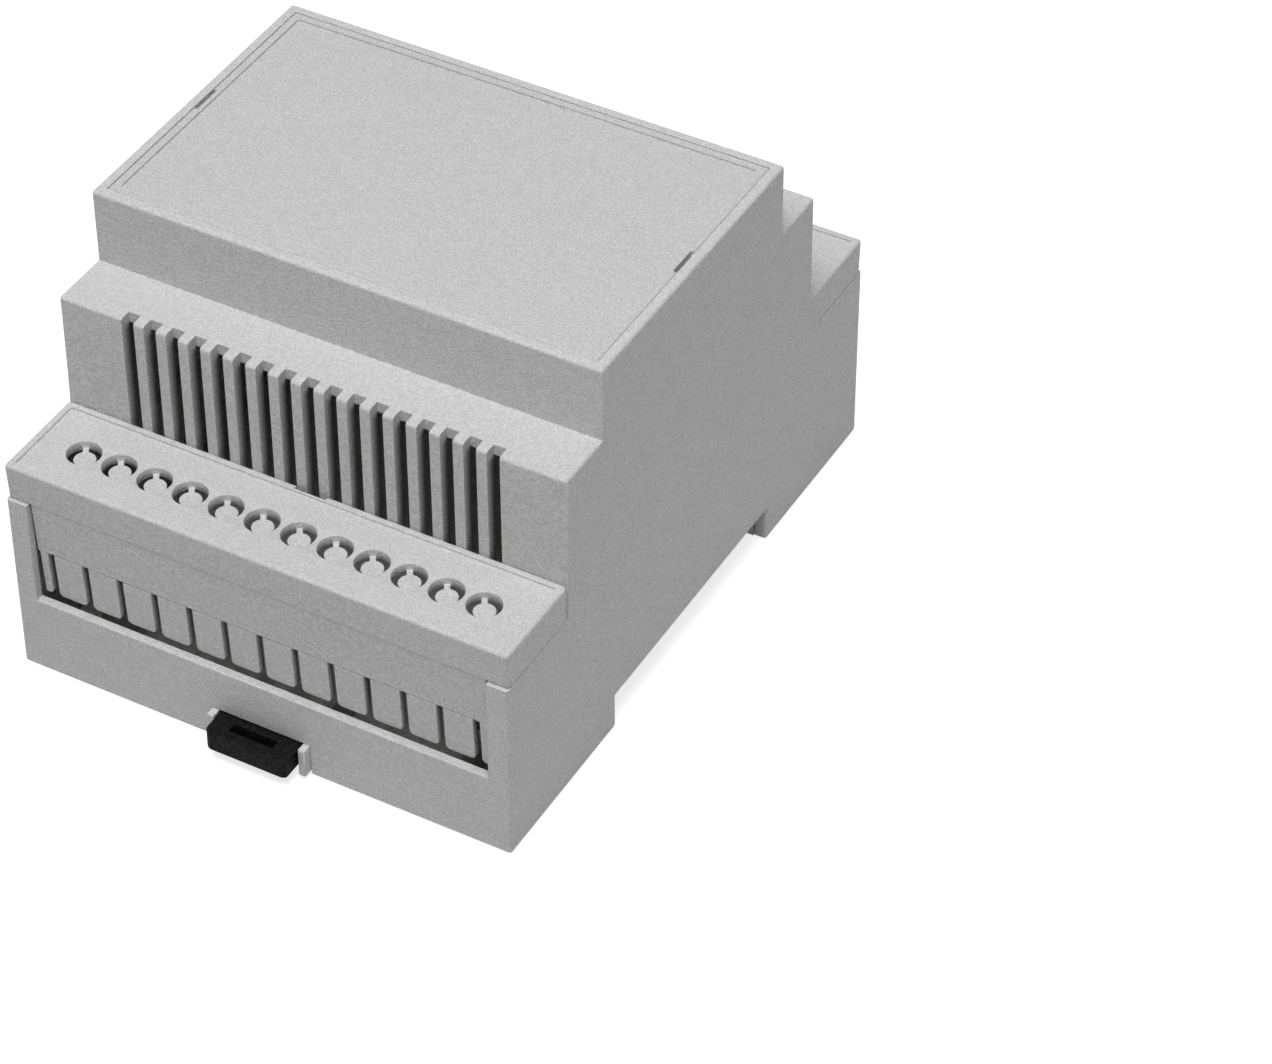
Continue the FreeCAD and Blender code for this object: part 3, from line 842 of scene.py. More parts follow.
@dataclass
class RailClip(Piece):
    """Sliding foot: head with a screwdriver pocket, shank, spring arms and the lip under the rail."""

    nose: float = 3.7
    travel: float = 4.0
    lip: float = 2.2
    body_length: float = 4.5
    shank_width: float = 6.6
    arm_thickness: float = 0.9
    arm_length: float = 14.0
    arm_bump: float = 0.35
    head_edge: float = 0.55
    head_relief: float = 0.15
    head_bottom: float = 1.7
    corner: float = 0.9
    pocket_width: float = 6.3
    pocket_depth: float = 1.9
    pocket_length: float = 1.4
    pocket_margin: float = 1.35
    ramp_length: float = 1.2
    ramp_depth: float = 0.5
    stop_gap: float = 0.1
    soft_edge: float = 0.15

    def shape(self) -> Solid:
        """Build the clip from its profile and head, and cut its arms, window and pocket."""
        c = self.common
        half, nose = c.clip_width / 2, c.depth / 2 + self.nose
        lip_top = c.recess_height - c.rail_thickness - c.rail_play
        shoulder = c.rail_half + c.rail_play
        tip = shoulder - self.lip
        neck = c.depth / 2
        outline = [
            (-neck, c.clip_bottom), (-tip - self.lip / 2, c.clip_bottom), (-tip, lip_top - self.lip / 2),
            (-tip, lip_top), (-shoulder, lip_top), (-shoulder, c.clip_top), (-neck, c.clip_top),
        ]
        clip = Solid.prism("rail_clip", outline, Axis.X, -half, half)
        clip.add(self.head(half, nose))
        for gap in self.arm_gaps(half):
            clip.cut(gap)
        peg_back = -c.recess_front - c.peg_offset
        room = c.peg_width / 2 + c.clip_gap
        clip.cut(
            Solid.box("stop_window", (-room, room), (peg_back - c.peg_length - self.stop_gap,
                                                     peg_back + self.travel + self.stop_gap),
                      (c.clip_bottom - PAST, c.clip_top + PAST)),
            self.screwdriver_pocket(-nose + self.pocket_margin),
        )
        return clip.soften(self.soft_edge)

    def head(self, half: float, nose: float) -> Solid:
        """The head, with rounded outer corners and a brim over its narrower lower part.

        Args:
            half: Half the width of the clip.
            nose: How far out the head reaches.

        Returns:
            The head.
        """
        c = self.common
        front, r = -nose + self.corner, self.corner
        root = PAST - c.depth / 2
        right = arc((half - r, front), r, 270, 360, 5) + [(half, root)]
        head = Solid.prism("head", mirrored(right), Axis.Z, self.head_bottom, c.clip_top)
        for side in (-1, 1):
            x = stretch(side, half - self.head_relief, half + PAST)
            head.cut(Solid.box("relief", x, (-nose - PAST, root - PAST),
                               (self.head_bottom - PAST, c.clip_top - self.head_edge)))
        return head

    def screwdriver_pocket(self, far_edge: float) -> Solid:
        """The tool for the pocket, whose floor rises in a ramp at one end.

        Args:
            far_edge: The y of the pocket's front side.

        Returns:
            The tool.
        """
        c = self.common
        x = self.pocket_width / 2
        floor = c.clip_top - self.pocket_depth
        outline = [(-x, floor), (x - self.ramp_length, floor), (x, c.clip_top - self.ramp_depth),
                   (x, c.clip_top + PAST), (-x, c.clip_top + PAST)]
        return Solid.prism("pocket", outline, Axis.Y, far_edge, far_edge + self.pocket_length)

    def arm_gaps(self, half: float) -> list[Solid]:
        """The gaps that free both spring arms.

        Args:
            half: Half the width of the clip.

        Returns:
            The tools, two for each arm.
        """
        c = self.common
        front = -c.depth / 2 + self.body_length
        back = front + self.arm_length
        outer = half - self.arm_bump
        inner = outer - self.arm_thickness
        shank = self.shank_width / 2
        span = (c.clip_bottom - PAST, c.clip_top + PAST)
        gaps = []
        for side in (-1, 1):
            outline = [(side * u, v) for u, v in (
                (shank, front), (inner, front), (inner, back), (half + PAST, back),
                (half + PAST, back + 2 * self.arm_thickness), (shank, back + 2 * self.arm_thickness))]
            gaps.append(Solid.prism("arm_gap", outline, Axis.Z, *span))
            gaps.append(Solid.box("arm_flank", stretch(side, outer, half + PAST),
                                  (front, back - 3 * self.arm_thickness), span))
        return gaps


@dataclass
class Base(Piece):
    """Insert that closes the housing from below: feet floors, rail seat, hooks, clip tunnel and bosses."""

    floor: float = 1.8
    gap: float = 0.15
    end_height: float = 9.0
    end_thickness: float = 1.5
    guide_wall: float = 1.0
    guide_reach: float = 1.3
    guide_foot: float = 0.6
    guide_play: float = 0.05
    guide_edge: float = 0.2
    tunnel_play: float = 0.25
    shelf_width: float = 0.8
    shelf_thickness: float = 0.7
    hook_width: float = 14.0
    hook_margin: float = 12.5
    hook_overlap: float = 1.8
    hook_thickness: float = 1.3
    boss_radius: float = 2.6
    boss_height: float = 10.0
    boss_hole_radius: float = 1.1
    boss_hole_depth: float = 7.0
    boss_margin_x: float = 9.0
    boss_margin_y: float = 9.0
    tongue_width: float = 8.0
    tongue_height: float = 22.0
    tongue_spacing: float = 26.0
    tongue_thickness: float = 1.2
    soft_edge: float = 0.1

    def shape(self) -> Solid:
        """Build the floor and everything that stands on it."""
        c = self.common
        half = c.width / 2 - c.side_wall - self.gap
        end = c.depth / 2 - c.end_wall - self.gap
        top = c.recess_height + self.floor
        inner = end - self.end_thickness
        outline = [
            (-end, 0), (-c.recess_front, 0), (-c.recess_front, c.recess_height),
            (c.recess_rear, c.recess_height), (c.recess_rear, 0), (end, 0), (end, self.end_height),
            (inner, self.end_height), (inner, self.floor), (c.recess_rear + self.floor, self.floor),
            (c.recess_rear + self.floor, top), (-c.recess_front - self.floor, top),
            (-c.recess_front - self.floor, self.floor), (-inner, self.floor),
            (-inner, self.end_height), (-end, self.end_height),
        ]
        base = Solid.prism("base", outline, Axis.X, -half, half)
        self.fit_tunnel(base, end, top)
        self.fit_hooks(base)
        self.fit_bosses(base)
        self.fit_tongues(base, half)
        return base.soften(self.soft_edge)

    def fit_tunnel(self, base: Solid, end: float, top: float) -> None:
        """Add the tunnel of the rail clip with its guides, shelves and stop peg.

        Args:
            base: The insert.
            end: How far out it reaches to the front.
            top: The z of the rail seat's upper face.
        """
        c = self.common
        channel = c.clip_width / 2 + c.clip_gap
        outer = channel + self.guide_wall
        base.add(Solid.box("tunnel", (-outer, outer), (-end, -c.recess_front - self.floor / 2), (0, top)))
        base.cut(Solid.box("bore", (-channel, channel), (-end - PAST, -c.recess_front + PAST),
                           (-PAST, c.clip_top + self.tunnel_play)))
        stop = -c.recess_front - c.peg_offset
        base.add(Solid.box("peg", (-c.peg_width / 2, c.peg_width / 2), (stop - c.peg_length, stop),
                           (c.clip_bottom + c.shelf_play, c.clip_top + self.floor)))
        shelf_top = c.clip_bottom - c.shelf_play
        for side in (-1, 1):
            bar = stretch(side, channel, outer)
            shelf = stretch(side, channel - self.shelf_width, channel + self.guide_wall / 2)
            base.add(
                Solid.box("guide", bar, (-c.depth / 2 - self.guide_reach, -end + self.end_thickness),
                          (self.guide_foot, c.cutout_height - self.guide_play)).soften(self.guide_edge),
                Solid.box("shelf", shelf, (-end, -c.recess_front), (shelf_top - self.shelf_thickness, shelf_top)),
            )

    def fit_hooks(self, base: Solid) -> None:
        """Add the two fixed hooks on the far side of the rail.

        Args:
            base: The insert.
        """
        c = self.common
        groove = c.recess_height - c.rail_thickness - c.rail_play
        stop = c.rail_half + c.rail_play
        root = (c.recess_rear + self.floor / 2, c.recess_height + self.floor / 2)
        tip = stop - self.hook_overlap
        outline = [
            root, (stop, root[1]), (stop, groove), (tip, groove), (tip, groove - self.hook_thickness / 2),
            (tip + self.hook_thickness / 2, groove - self.hook_thickness), (root[0], groove - self.hook_thickness),
        ]
        first = self.hook_margin - c.width / 2
        hook = Solid.prism("hook", outline, Axis.X, first - self.hook_width / 2, first + self.hook_width / 2)
        base.repeat(hook, Work.ADD, 2, (-2 * first, 0.0, 0.0), self.material)

    def fit_bosses(self, base: Solid) -> None:
        """Add the four screw bosses of the circuit board.

        Args:
            base: The insert.
        """
        c = self.common
        x, y = c.width / 2 - self.boss_margin_x, c.depth / 2 - self.boss_margin_y
        for along in (-y, y):
            boss = Solid.cylinder("boss", (-x, along), self.boss_radius, (self.floor / 2, self.boss_height))
            pilot = Solid.cylinder("pilot", (-x, along), self.boss_hole_radius,
                                   (self.boss_height - self.boss_hole_depth, self.boss_height + PAST), 32)
            boss.cut(pilot)
            base.repeat(boss, Work.ADD, 2, (2 * x, 0.0, 0.0), self.material)

    def fit_tongues(self, base: Solid, half: float) -> None:
        """Add the tongues that guide the housing's side walls.

        Args:
            base: The insert.
            half: Half its width.
        """
        low = self.common.recess_height + self.floor / 2
        width = self.tongue_width / 2
        start = -self.tongue_spacing / 2
        for side in (-1, 1):
            x = stretch(side, half - self.tongue_thickness, half)
            tongue = Solid.box("tongue", x, (start - width, start + width), (low, self.tongue_height))
            base.repeat(tongue, Work.ADD, 2, (0.0, self.tongue_spacing, 0.0), self.material)


class NodeGroup:
    """A shader node group with named inputs and outputs."""

    def __init__(self, name: str, inputs: dict[str, float], outputs: Sequence[str]) -> None:
        """Make the group and its sockets.

        Args:
            name: The name of the group.
            inputs: Its number inputs with their defaults, besides the Vector input.
            outputs: The names of its number outputs.
        """
        self.tree = bpy.data.node_groups.new(name, "ShaderNodeTree")
        face = self.tree.interface
        face.new_socket("Vector", in_out="INPUT", socket_type="NodeSocketVector")
        for label, default in inputs.items():
            face.new_socket(label, in_out="INPUT", socket_type="NodeSocketFloat").default_value = default
        for label in outputs:
            face.new_socket(label, in_out="OUTPUT", socket_type="NodeSocketFloat")
        self.start = self.tree.nodes.new("NodeGroupInput")
        self.end = self.tree.nodes.new("NodeGroupOutput")

    def node(self, kind: str, **settings: object) -> bpy.types.Node:
        """Add a node and set its properties."""
        made = self.tree.nodes.new(kind)
        for label, value in settings.items():
            setattr(made, label, value)
        return made

    def link(self, source: bpy.types.NodeSocket, target: bpy.types.NodeSocket) -> None:
        """Join two sockets."""
        self.tree.links.new(source, target)

    def noise(self, scale: float, detail: float, size: bpy.types.NodeSocket | None = None) -> bpy.types.NodeSocket:
        """Add a noise pattern on the group's vector.

        Args:
            scale: Its scale, used where no size is given.
            detail: Its detail.
            size: A socket that gives its scale.

        Returns:
            The socket with the noise.
        """
        made = self.node("ShaderNodeTexNoise")
        made.inputs["Scale"].default_value = scale
        made.inputs["Detail"].default_value = detail
        self.link(self.start.outputs["Vector"], made.inputs["Vector"])
        if size is not None:
            self.link(size, made.inputs["Scale"])
        return made.outputs["Fac"]

    def math(self, operation: str, first: object, second: object = 0.0,
             clamp: bool = False) -> bpy.types.NodeSocket:
        """Add a Math node.

        Args:
            operation: The name of its operation.
            first: A socket or a number.
            second: A socket or a number.
            clamp: Whether the result stays between 0 and 1.

        Returns:
            The socket with the result.
        """
        made = self.node("ShaderNodeMath", operation=operation, use_clamp=clamp)
        for index, value in enumerate((first, second)):
            if isinstance(value, bpy.types.NodeSocket):
                self.link(value, made.inputs[index])
            else:
                made.inputs[index].default_value = value
        return made.outputs[0]

    def ramp(self, value: bpy.types.NodeSocket, low: float, high: float) -> bpy.types.NodeSocket:
        """Spread a range of values smoothly over 0 to 1.

        Args:
            value: The socket with the values.
            low: The value that becomes 0.
            high: The value that becomes 1.

        Returns:
            The socket with the result.
        """
        made = self.node("ShaderNodeMapRange", interpolation_type="SMOOTHSTEP")
        self.link(value, made.inputs["Value"])
        made.inputs["From Min"].default_value = low
        made.inputs["From Max"].default_value = high
        return made.outputs["Result"]

    def give(self, label: str, value: bpy.types.NodeSocket) -> None:
        """Send a value to one of the group's outputs."""
        self.link(value, self.end.inputs[label])


class Effects:
    """The surface effects that the plastics share, with the ranges of their patterns."""

    COARSE_SCALE: float = 0.35
    COARSE_SHARE: float = 0.25
    GRAIN_RANGE: Pair = (0.5, 0.76)
    # The next two set the edge mask: a painted highlight, broken up as wear.
    BEND_RANGE: Pair = (0.02, 0.2)
    RUB_RANGE: Pair = (0.3, 0.62)
    CLOUD_RANGE: Pair = (0.25, 0.75)
    SPECK_RARITY: float = 0.88
    # The next four set the painted shade in slots and holes and on slot flanks.
    OPEN_RANGE: Pair = (0.0, 0.2)
    UNEVEN_SHARE: float = 0.1
    FLANK_END: float = 1.4
    HEAD_FADE: float = 0.0012

    def __init__(self) -> None:
        """Build the groups once."""
        self.grain = self.make_grain()
        self.edges = self.make_edge_wear_and_highlight()
        self.clouds = self.make_clouds()
        self.specks = self.make_specks()
        self.recess_shade = self.make_recess_shade()
        self.slot_shade = self.make_slot_shade()

    @staticmethod
    def make_grain() -> NodeGroup:
        """Fine spark-eroded grain: a height for the bump and a tone for the gloss."""
        group = NodeGroup("moulded_grain", {"Scale": 3000.0}, ("Height", "Tone"))
        fine = group.noise(3000.0, 2.0, group.start.outputs["Scale"])
        coarse_scale = group.math("MULTIPLY", group.start.outputs["Scale"], Effects.COARSE_SCALE)
        coarse = group.noise(1000.0, 1.0, coarse_scale)
        height = group.math("ADD", fine, group.math("MULTIPLY", coarse, Effects.COARSE_SHARE))
        group.give("Height", height)
        group.give("Tone", group.ramp(height, *Effects.GRAIN_RANGE))
        return group

    @staticmethod
    def make_edge_wear_and_highlight() -> NodeGroup:
        """Mask of the edges: a painted highlight where they catch the light, and partly real wear, broken up as
        handling rubs them.
        """
        group = NodeGroup("rubbed_edges_and_highlight", {"Radius": 0.0003}, ("Mask",))
        # Painted highlight: a bevel-normal mask that lightens every convex edge.
        bevel = group.node("ShaderNodeBevel", samples=6)
        group.link(group.start.outputs["Radius"], bevel.inputs["Radius"])
        geometry = group.node("ShaderNodeNewGeometry")
        dot = group.node("ShaderNodeVectorMath", operation="DOT_PRODUCT")
        group.link(bevel.outputs["Normal"], dot.inputs[0])
        group.link(geometry.outputs["Normal"], dot.inputs[1])
        bend = group.math("SUBTRACT", 1.0, dot.outputs["Value"])
        mask = group.ramp(bend, *Effects.BEND_RANGE)
        broken = group.ramp(group.noise(420.0, 3.0), *Effects.RUB_RANGE)
        group.give("Mask", group.math("MULTIPLY", mask, broken, clamp=True))
        return group

    @staticmethod
    def make_clouds() -> NodeGroup:
        """Faint wide clouds, as in the melt of a moulding."""
        group = NodeGroup("melt_clouds", {"Scale": 45.0}, ("Tone",))
        wide = group.noise(45.0, 3.0, group.start.outputs["Scale"])
        group.give("Tone", group.ramp(wide, *Effects.CLOUD_RANGE))
        return group

    @staticmethod
    def make_specks() -> NodeGroup:
        """Mask of a few dust specks."""
        group = NodeGroup("dust_specks", {"Scale": 110.0, "Radius": 0.02}, ("Mask",))
        cells = group.node("ShaderNodeTexVoronoi", feature="F1")
        group.link(group.start.outputs["Vector"], cells.inputs["Vector"])
        group.link(group.start.outputs["Scale"], cells.inputs["Scale"])
        inside = group.math("LESS_THAN", cells.outputs["Distance"], group.start.outputs["Radius"])
        parts = group.node("ShaderNodeSeparateColor")
        group.link(cells.outputs["Color"], parts.inputs["Color"])
        some = group.math("GREATER_THAN", parts.outputs["Red"], Effects.SPECK_RARITY)
        group.give("Mask", group.math("MULTIPLY", inside, some))
        return group

    @staticmethod
    def make_recess_shade() -> NodeGroup:
        """Mask of painted shade in slots and holes, where ambient occlusion finds the surface closed in."""
        group = NodeGroup("painted_recess_shade", {"Depth": 0.004}, ("Mask",))
        # Painted shade: the colour darkens where ambient occlusion finds the surface closed in.
        open_sky = group.node("ShaderNodeAmbientOcclusion", samples=12, only_local=True)
        group.link(group.start.outputs["Depth"], open_sky.inputs["Distance"])
        uneven = group.math("MULTIPLY", group.noise(260.0, 2.0), Effects.UNEVEN_SHARE)
        openness = group.math("ADD", open_sky.outputs["AO"], uneven)
        group.give("Mask", group.math("SUBTRACT", 1.0, group.ramp(openness, *Effects.OPEN_RANGE), clamp=True))
        return group

    @staticmethod
    def make_slot_shade() -> NodeGroup:
        """Mask of painted shade that grows with the depth behind an outer wall, on the flanks of the slots through
        it.
        """
        group = NodeGroup("painted_slot_shade", {"Wall": 0.0, "Slope": 0.0, "Depth": 0.0015, "Foot": 0.0, "Head": 0.0,
                                          "Reach": 0.0}, ("Mask",))
        start = group.start.outputs
        parts = group.node("ShaderNodeSeparateXYZ")
        group.link(start["Vector"], parts.inputs["Vector"])
        height = parts.outputs["Z"]
        wall = group.math("ADD", start["Wall"], group.math("MULTIPLY", height, start["Slope"]))
        behind = group.math("SUBTRACT", wall, group.math("ABSOLUTE", parts.outputs["Y"]))
        share = group.math("DIVIDE", behind, start["Depth"])
        below_head = group.math("SUBTRACT", start["Head"], height)
        # Painted shade: darker the deeper the flank lies behind the wall.
        mask = group.ramp(share, 0.0, 1.0)
        limits = (
            group.math("LESS_THAN", share, Effects.FLANK_END),
            group.math("GREATER_THAN", height, start["Foot"]),
            group.math("SUBTRACT", 1.0, group.ramp(below_head, Effects.HEAD_FADE, 0.0)),
            group.math("LESS_THAN", group.math("ABSOLUTE", parts.outputs["X"]), start["Reach"]),
        )
        for inside in limits:
            mask = group.math("MULTIPLY", mask, inside)
        group.give("Mask", mask)
        return group


@dataclass(frozen=True)
class Slots:
    """Where slots run through an outer wall and get painted shade on their flanks, in metres: the wall's y at z 0,
    its slope and the slots' bounds.
    """

    wall: float
    slope: float
    depth: float
    foot: float
    head: float
    reach: float


@dataclass(frozen=True)
class Plastic:
    """A moulded plastic: its colour, gloss and surface."""

    name: str
    color: Triple
    # Light colour of the grain, and of the painted highlight on the edges.
    grain_and_highlight_color: Triple
    dark_color: Triple
    speck_color: Triple
    roughness: float
    roughness_change: float
    specular: float
    grain_scale: float
    grain_height: float
    grain_tone: float
    edge_radius: float
    # Share of the painted highlight and wear on the edges.
    edge_wear_and_highlight_strength: float
    # Colour and share of the painted shade in slots and holes and on slot flanks.
    painted_shade_color: Triple
    painted_shade_strength: float
    # Where set, the slots whose flanks get painted shade.
    slots: Slots | None = None
    cloud_strength: float = 0.35
    speck_strength: float = 0.4
    bump_strength: float = 0.6

    def build(self, effects: Effects) -> bpy.types.Material:
        """Make the material.

        Args:
            effects: The shared node groups.

        Returns:
            The material.
        """
        material = bpy.data.materials.new(self.name)
        material.use_nodes = True
        nodes, links = material.node_tree.nodes, material.node_tree.links
        shader = nodes["Principled BSDF"]
        shader.inputs["Specular IOR Level"].default_value = self.specular
        place = nodes.new("ShaderNodeTexCoord")

        def use(group: NodeGroup, **values: float) -> bpy.types.Node:
            """Place a group, with its values, on the object's own coordinates."""
            made = nodes.new("ShaderNodeGroup")
            made.node_tree = group.tree
            links.new(place.outputs["Object"], made.inputs["Vector"])
            for label, value in values.items():
                made.inputs[label].default_value = value
            return made

        def mix(factor: bpy.types.NodeSocket, first: object, second: Triple, share: float) -> bpy.types.NodeSocket:
            """Mix a colour over another one where the factor asks for it."""
            scaled = nodes.new("ShaderNodeMath")
            scaled.operation = "MULTIPLY"
            links.new(factor, scaled.inputs[0])
            scaled.inputs[1].default_value = share
            made = nodes.new("ShaderNodeMix")
            made.data_type = "RGBA"
            links.new(scaled.outputs[0], made.inputs["Factor"])
            if isinstance(first, bpy.types.NodeSocket):
                links.new(first, made.inputs[COLOR_A])
            else:
                made.inputs[COLOR_A].default_value = (*first, 1.0)
            made.inputs[COLOR_B].default_value = (*second, 1.0)
            return made.outputs[COLOR_OUT]

        grain = use(effects.grain, Scale=self.grain_scale)
        edges = use(effects.edges, Radius=self.edge_radius)
        clouds = use(effects.clouds)
        specks = use(effects.specks)
        recess_shade = use(effects.recess_shade)
        color = mix(clouds.outputs["Tone"], self.color, self.dark_color, self.cloud_strength)
        color = mix(grain.outputs["Tone"], color, self.grain_and_highlight_color, self.grain_tone)
        # Painted highlight along the edges, partly real handling wear.
        color = mix(edges.outputs["Mask"], color, self.grain_and_highlight_color, self.edge_wear_and_highlight_strength)
        color = mix(specks.outputs["Mask"], color, self.speck_color, self.speck_strength)
        # Painted shade in the slots and holes, from the ambient-occlusion mask.
        color = mix(recess_shade.outputs["Mask"], color, self.painted_shade_color, self.painted_shade_strength)
        # Painted shade on the slot flanks, darker with the depth behind the outer wall.
        if self.slots:
            slot_shade = use(effects.slot_shade, Wall=self.slots.wall, Slope=self.slots.slope, Depth=self.slots.depth,
                         Foot=self.slots.foot, Head=self.slots.head, Reach=self.slots.reach)
            color = mix(slot_shade.outputs["Mask"], color, self.painted_shade_color, self.painted_shade_strength)
        links.new(color, shader.inputs["Base Color"])
        gloss = nodes.new("ShaderNodeMapRange")
        links.new(grain.outputs["Tone"], gloss.inputs["Value"])
        gloss.inputs["To Min"].default_value = self.roughness + self.roughness_change
        gloss.inputs["To Max"].default_value = self.roughness - self.roughness_change
        links.new(gloss.outputs["Result"], shader.inputs["Roughness"])
        bump = nodes.new("ShaderNodeBump")
        bump.inputs["Strength"].default_value = self.bump_strength
        bump.inputs["Distance"].default_value = self.grain_height
        links.new(grain.outputs["Height"], bump.inputs["Height"])
        links.new(bump.outputs["Normal"], shader.inputs["Normal"])
        return material


@dataclass(frozen=True)
class PhotoCamera:
    """Camera at the photograph's angle: its place in metres, its direction in degrees and its lens."""

    location: Triple = (0.23049, -0.36617, 0.38153)
    azimuth: float = 29.070
    elevation: float = 41.330
    lens: float = 127.23
    sensor: float = 36.0

    def build(self) -> None:
        """Make the camera and give it to the scene."""
        data = bpy.data.cameras.new("photo_camera")
        data.lens = self.lens
        data.sensor_width = self.sensor
        data.clip_start, data.clip_end = 0.01, 10.0
        camera = bpy.data.objects.new("photo_camera", data)
        a, e = math.radians(self.azimuth), math.radians(self.elevation)
        back = Vector((math.sin(a) * math.cos(e), -math.cos(a) * math.cos(e), math.sin(e)))
        camera.location = self.location
        camera.rotation_mode = "QUATERNION"
        camera.rotation_quaternion = (-back).to_track_quat("-Z", "Y")
        bpy.context.scene.collection.objects.link(camera)
        bpy.context.scene.camera = camera


@dataclass(frozen=True)
class Lamp:
    """A square soft light that looks at the middle of the object."""

    name: str
    location: Triple
    size: float
    power: float

    def build(self) -> None:
        """Make the light."""
        data = bpy.data.lights.new(self.name, "AREA")
        data.size = self.size
        data.energy = self.power
        lamp = bpy.data.objects.new(self.name, data)
        lamp.location = self.location
        aim = Vector((0.0, 0.0, 0.03)) - Vector(self.location)
        lamp.rotation_mode = "QUATERNION"
        lamp.rotation_quaternion = aim.to_track_quat("-Z", "Y")
        bpy.context.scene.collection.objects.link(lamp)


@dataclass(frozen=True)
class Studio:
    """Pale floor, soft lamp and an even sky."""

    floor_size: float = 6.0
    floor_color: float = 0.52
    floor_glow: float = 0.75
    floor_roughness: float = 0.9
    floor_specular: float = 0.1
    sky: float = 0.2
    lamp: Lamp = Lamp("key", (0.10, -0.29, 1.07), 0.6, 10.0)

    def build(self) -> None:
        """Make the floor, the lamp and the world."""
        self.lamp.build()
        self.make_floor()
        self.make_world()
        bpy.context.scene.view_settings.view_transform = "Standard"

    def make_floor(self) -> None:
        """A flat floor, white to the camera except where the object shades it, and clear from below."""
        half = self.floor_size / 2
        mesh = bpy.data.meshes.new("floor")
        corners = [(-half, -half, 0), (half, -half, 0), (half, half, 0), (-half, half, 0)]
        mesh.from_pydata(corners, [], [(0, 1, 2, 3)])
        floor = bpy.data.objects.new("floor", mesh)
        bpy.context.scene.collection.objects.link(floor)
        material = bpy.data.materials.new("floor_paper")
        material.use_nodes = True
        nodes, links = material.node_tree.nodes, material.node_tree.links
        shader = nodes["Principled BSDF"]
        shader.inputs["Base Color"].default_value = (self.floor_color,) * 3 + (1.0,)
        shader.inputs["Roughness"].default_value = self.floor_roughness
        shader.inputs["Specular IOR Level"].default_value = self.floor_specular
        shader.inputs["Emission Color"].default_value = (1.0, 1.0, 1.0, 1.0)
        links.new(self.seen_share(nodes, links, self.floor_glow), shader.inputs["Emission Strength"])
        sides = nodes.new("ShaderNodeNewGeometry")
        clear = nodes.new("ShaderNodeBsdfTransparent")
        surface = nodes.new("ShaderNodeMixShader")
        links.new(sides.outputs["Backfacing"], surface.inputs[0])
        links.new(shader.outputs[0], surface.inputs[1])
        links.new(clear.outputs[0], surface.inputs[2])
        links.new(surface.outputs[0], nodes["Material Output"].inputs["Surface"])
        mesh.materials.append(material)

    def make_world(self) -> None:
        """An even sky that is white where it is seen."""
        world = bpy.data.worlds.new("studio_sky")
        world.use_nodes = True
        nodes, links = world.node_tree.nodes, world.node_tree.links
        light = nodes["Background"]
        light.inputs["Color"].default_value = (1.0, 1.0, 1.0, 1.0)
        light.inputs["Strength"].default_value = self.sky
        white = nodes.new("ShaderNodeBackground")
        white.inputs["Color"].default_value = (1.0, 1.0, 1.0, 1.0)
        white.inputs["Strength"].default_value = 1.0
        mixed = nodes.new("ShaderNodeMixShader")
        links.new(self.seen_share(nodes, links, 1.0), mixed.inputs[0])
        links.new(light.outputs[0], mixed.inputs[1])
        links.new(white.outputs[0], mixed.inputs[2])
        links.new(mixed.outputs[0], nodes["World Output"].inputs[0])
        bpy.context.scene.world = world

    @staticmethod
    def seen_share(nodes: bpy.types.Nodes, links: bpy.types.NodeLinks, share: float) -> bpy.types.NodeSocket:
        """Return a socket that is share for rays that see the surface and 0 for those that light with it.

        Args:
            nodes: The nodes of the tree.
            links: The links of the tree.
            share: The value for rays that see the surface.

        Returns:
            The socket.
        """
        path = nodes.new("ShaderNodeLightPath")
        total: bpy.types.NodeSocket = path.outputs["Is Camera Ray"]
        for label in ("Is Glossy Ray", "Is Transmission Ray"):
            added = nodes.new("ShaderNodeMath")
            added.operation = "MAXIMUM"
            links.new(total, added.inputs[0])
            links.new(path.outputs[label], added.inputs[1])
            total = added.outputs[0]
        scaled = nodes.new("ShaderNodeMath")
        scaled.operation = "MULTIPLY"
        links.new(total, scaled.inputs[0])
        scaled.inputs[1].default_value = share
        return scaled.outputs[0]


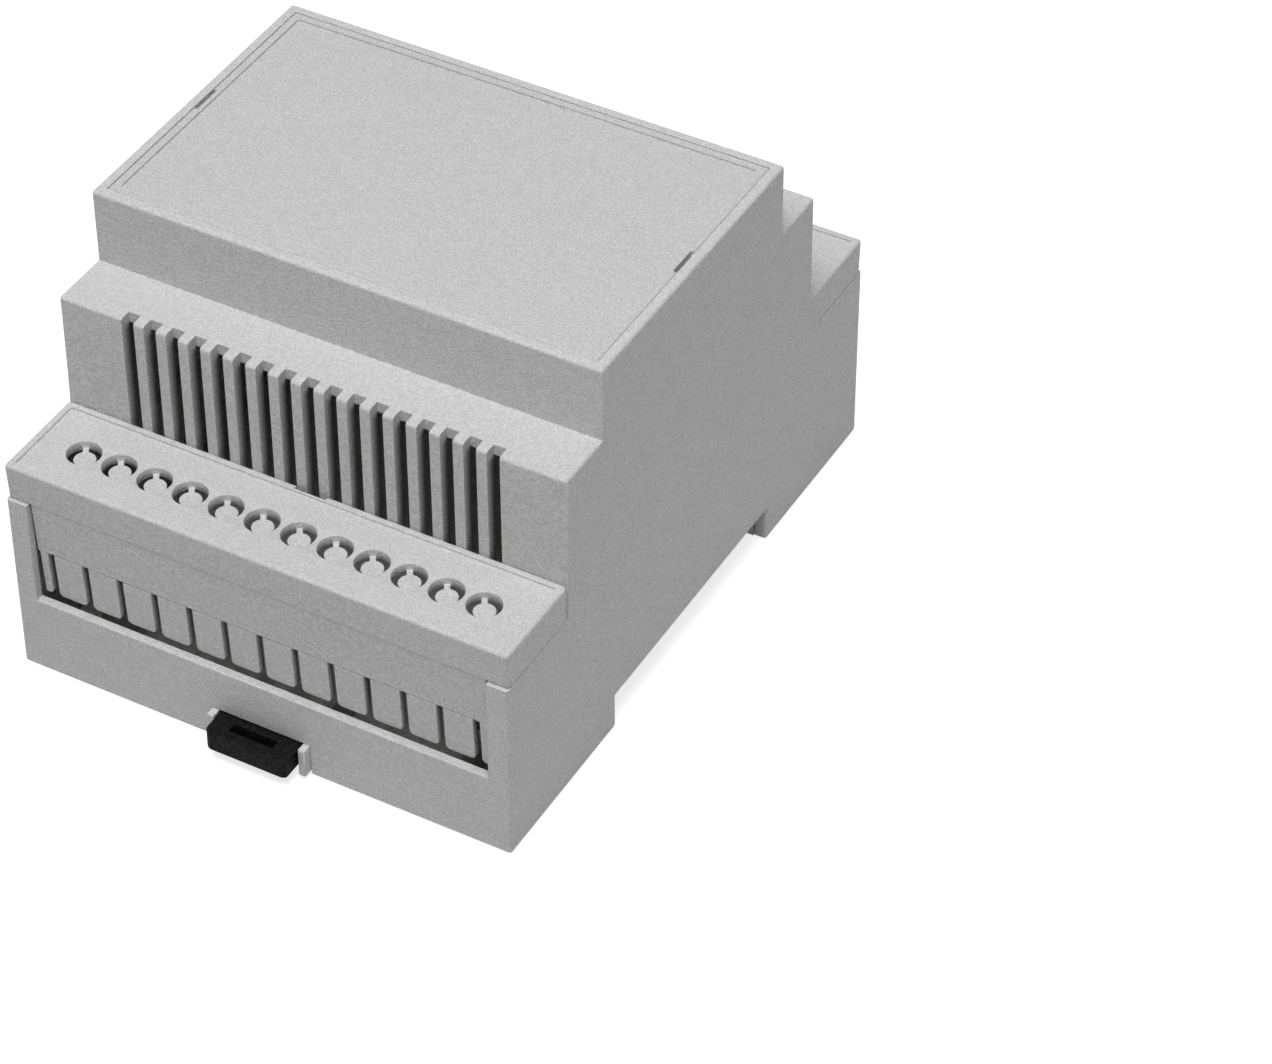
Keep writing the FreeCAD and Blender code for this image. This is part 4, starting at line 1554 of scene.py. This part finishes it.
LIGHT_GREY = Plastic(
    name="light_grey_plastic", color=(0.535, 0.535, 0.535), grain_and_highlight_color=(0.72, 0.72, 0.72),
    dark_color=(0.502, 0.502, 0.502), speck_color=(0.25, 0.24, 0.23), roughness=0.55, roughness_change=0.08,
    specular=0.4, grain_scale=3400.0, grain_height=0.0002, grain_tone=0.65, edge_radius=0.0003, edge_wear_and_highlight_strength=0.3,
    painted_shade_color=(0.06, 0.06, 0.06), painted_shade_strength=0.95)
# Bounds of the painted shade on the flanks of the vent slots and of the slots between the tabs.
VENT_SLOT_SHADE = Slots(wall=0.0307, slope=0.0, depth=0.00175, foot=0.0285, head=0.0466, reach=0.0262)
TAB_SLOT_SHADE = Slots(wall=0.0429, slope=0.055, depth=0.0012, foot=0.0115, head=0.0206, reach=0.032)
HOUSING_GREY = replace(LIGHT_GREY, name="light_grey_housing", slots=VENT_SLOT_SHADE)
COVER_GREY = replace(LIGHT_GREY, name="light_grey_cover", slots=TAB_SLOT_SHADE)
PANEL_GREY = replace(
    LIGHT_GREY, name="light_grey_panel", color=(0.503, 0.503, 0.503), grain_and_highlight_color=(0.68, 0.68, 0.68),
    dark_color=(0.478, 0.478, 0.478))
WARM_GREY = replace(
    LIGHT_GREY, name="warm_grey_plastic", color=(0.557, 0.557, 0.522), grain_and_highlight_color=(0.72, 0.72, 0.68),
    dark_color=(0.527, 0.527, 0.492))
BLACK = Plastic(
    name="black_plastic", color=(0.004, 0.004, 0.004), grain_and_highlight_color=(0.028, 0.028, 0.028),
    dark_color=(0.002, 0.002, 0.002), speck_color=(0.06, 0.06, 0.06), roughness=0.6, roughness_change=0.1,
    specular=0.07, grain_scale=3000.0, grain_height=0.00004, grain_tone=0.4, edge_radius=0.00025, edge_wear_and_highlight_strength=0.8,
    painted_shade_color=(0.001, 0.001, 0.001), painted_shade_strength=0.8)


def main() -> None:
    """Build the pieces, the studio and the camera."""
    logging.basicConfig(level=logging.INFO, format="%(message)s")
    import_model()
    effects = Effects()
    housing_grey, cover_grey = HOUSING_GREY.build(effects), COVER_GREY.build(effects)
    panel_grey = PANEL_GREY.build(effects)
    warm, black = WARM_GREY.build(effects), BLACK.build(effects)
    common = Envelope()
    pieces: list[Piece] = [
        Housing("housing_moulding", "housing", LIGHT_GREY.name, housing_grey, common),
        Base("base_insert", "base", WARM_GREY.name, warm, common),
        RailClip("sliding_rail_clip", "rail_clip", BLACK.name, black, common),
        FrontPanel("snap_in_panel", "front_panel", LIGHT_GREY.name, panel_grey, common),
        TerminalCover("front_terminal_cap", "terminal_cover_front", LIGHT_GREY.name, cover_grey, common),
        TerminalCover("rear_terminal_cap", "terminal_cover_rear", LIGHT_GREY.name, cover_grey, common, turned=True),
    ]
    for piece in pieces:
        piece.make()
    Studio().build()
    PhotoCamera().build()


if __name__ == "__main__":
    main()
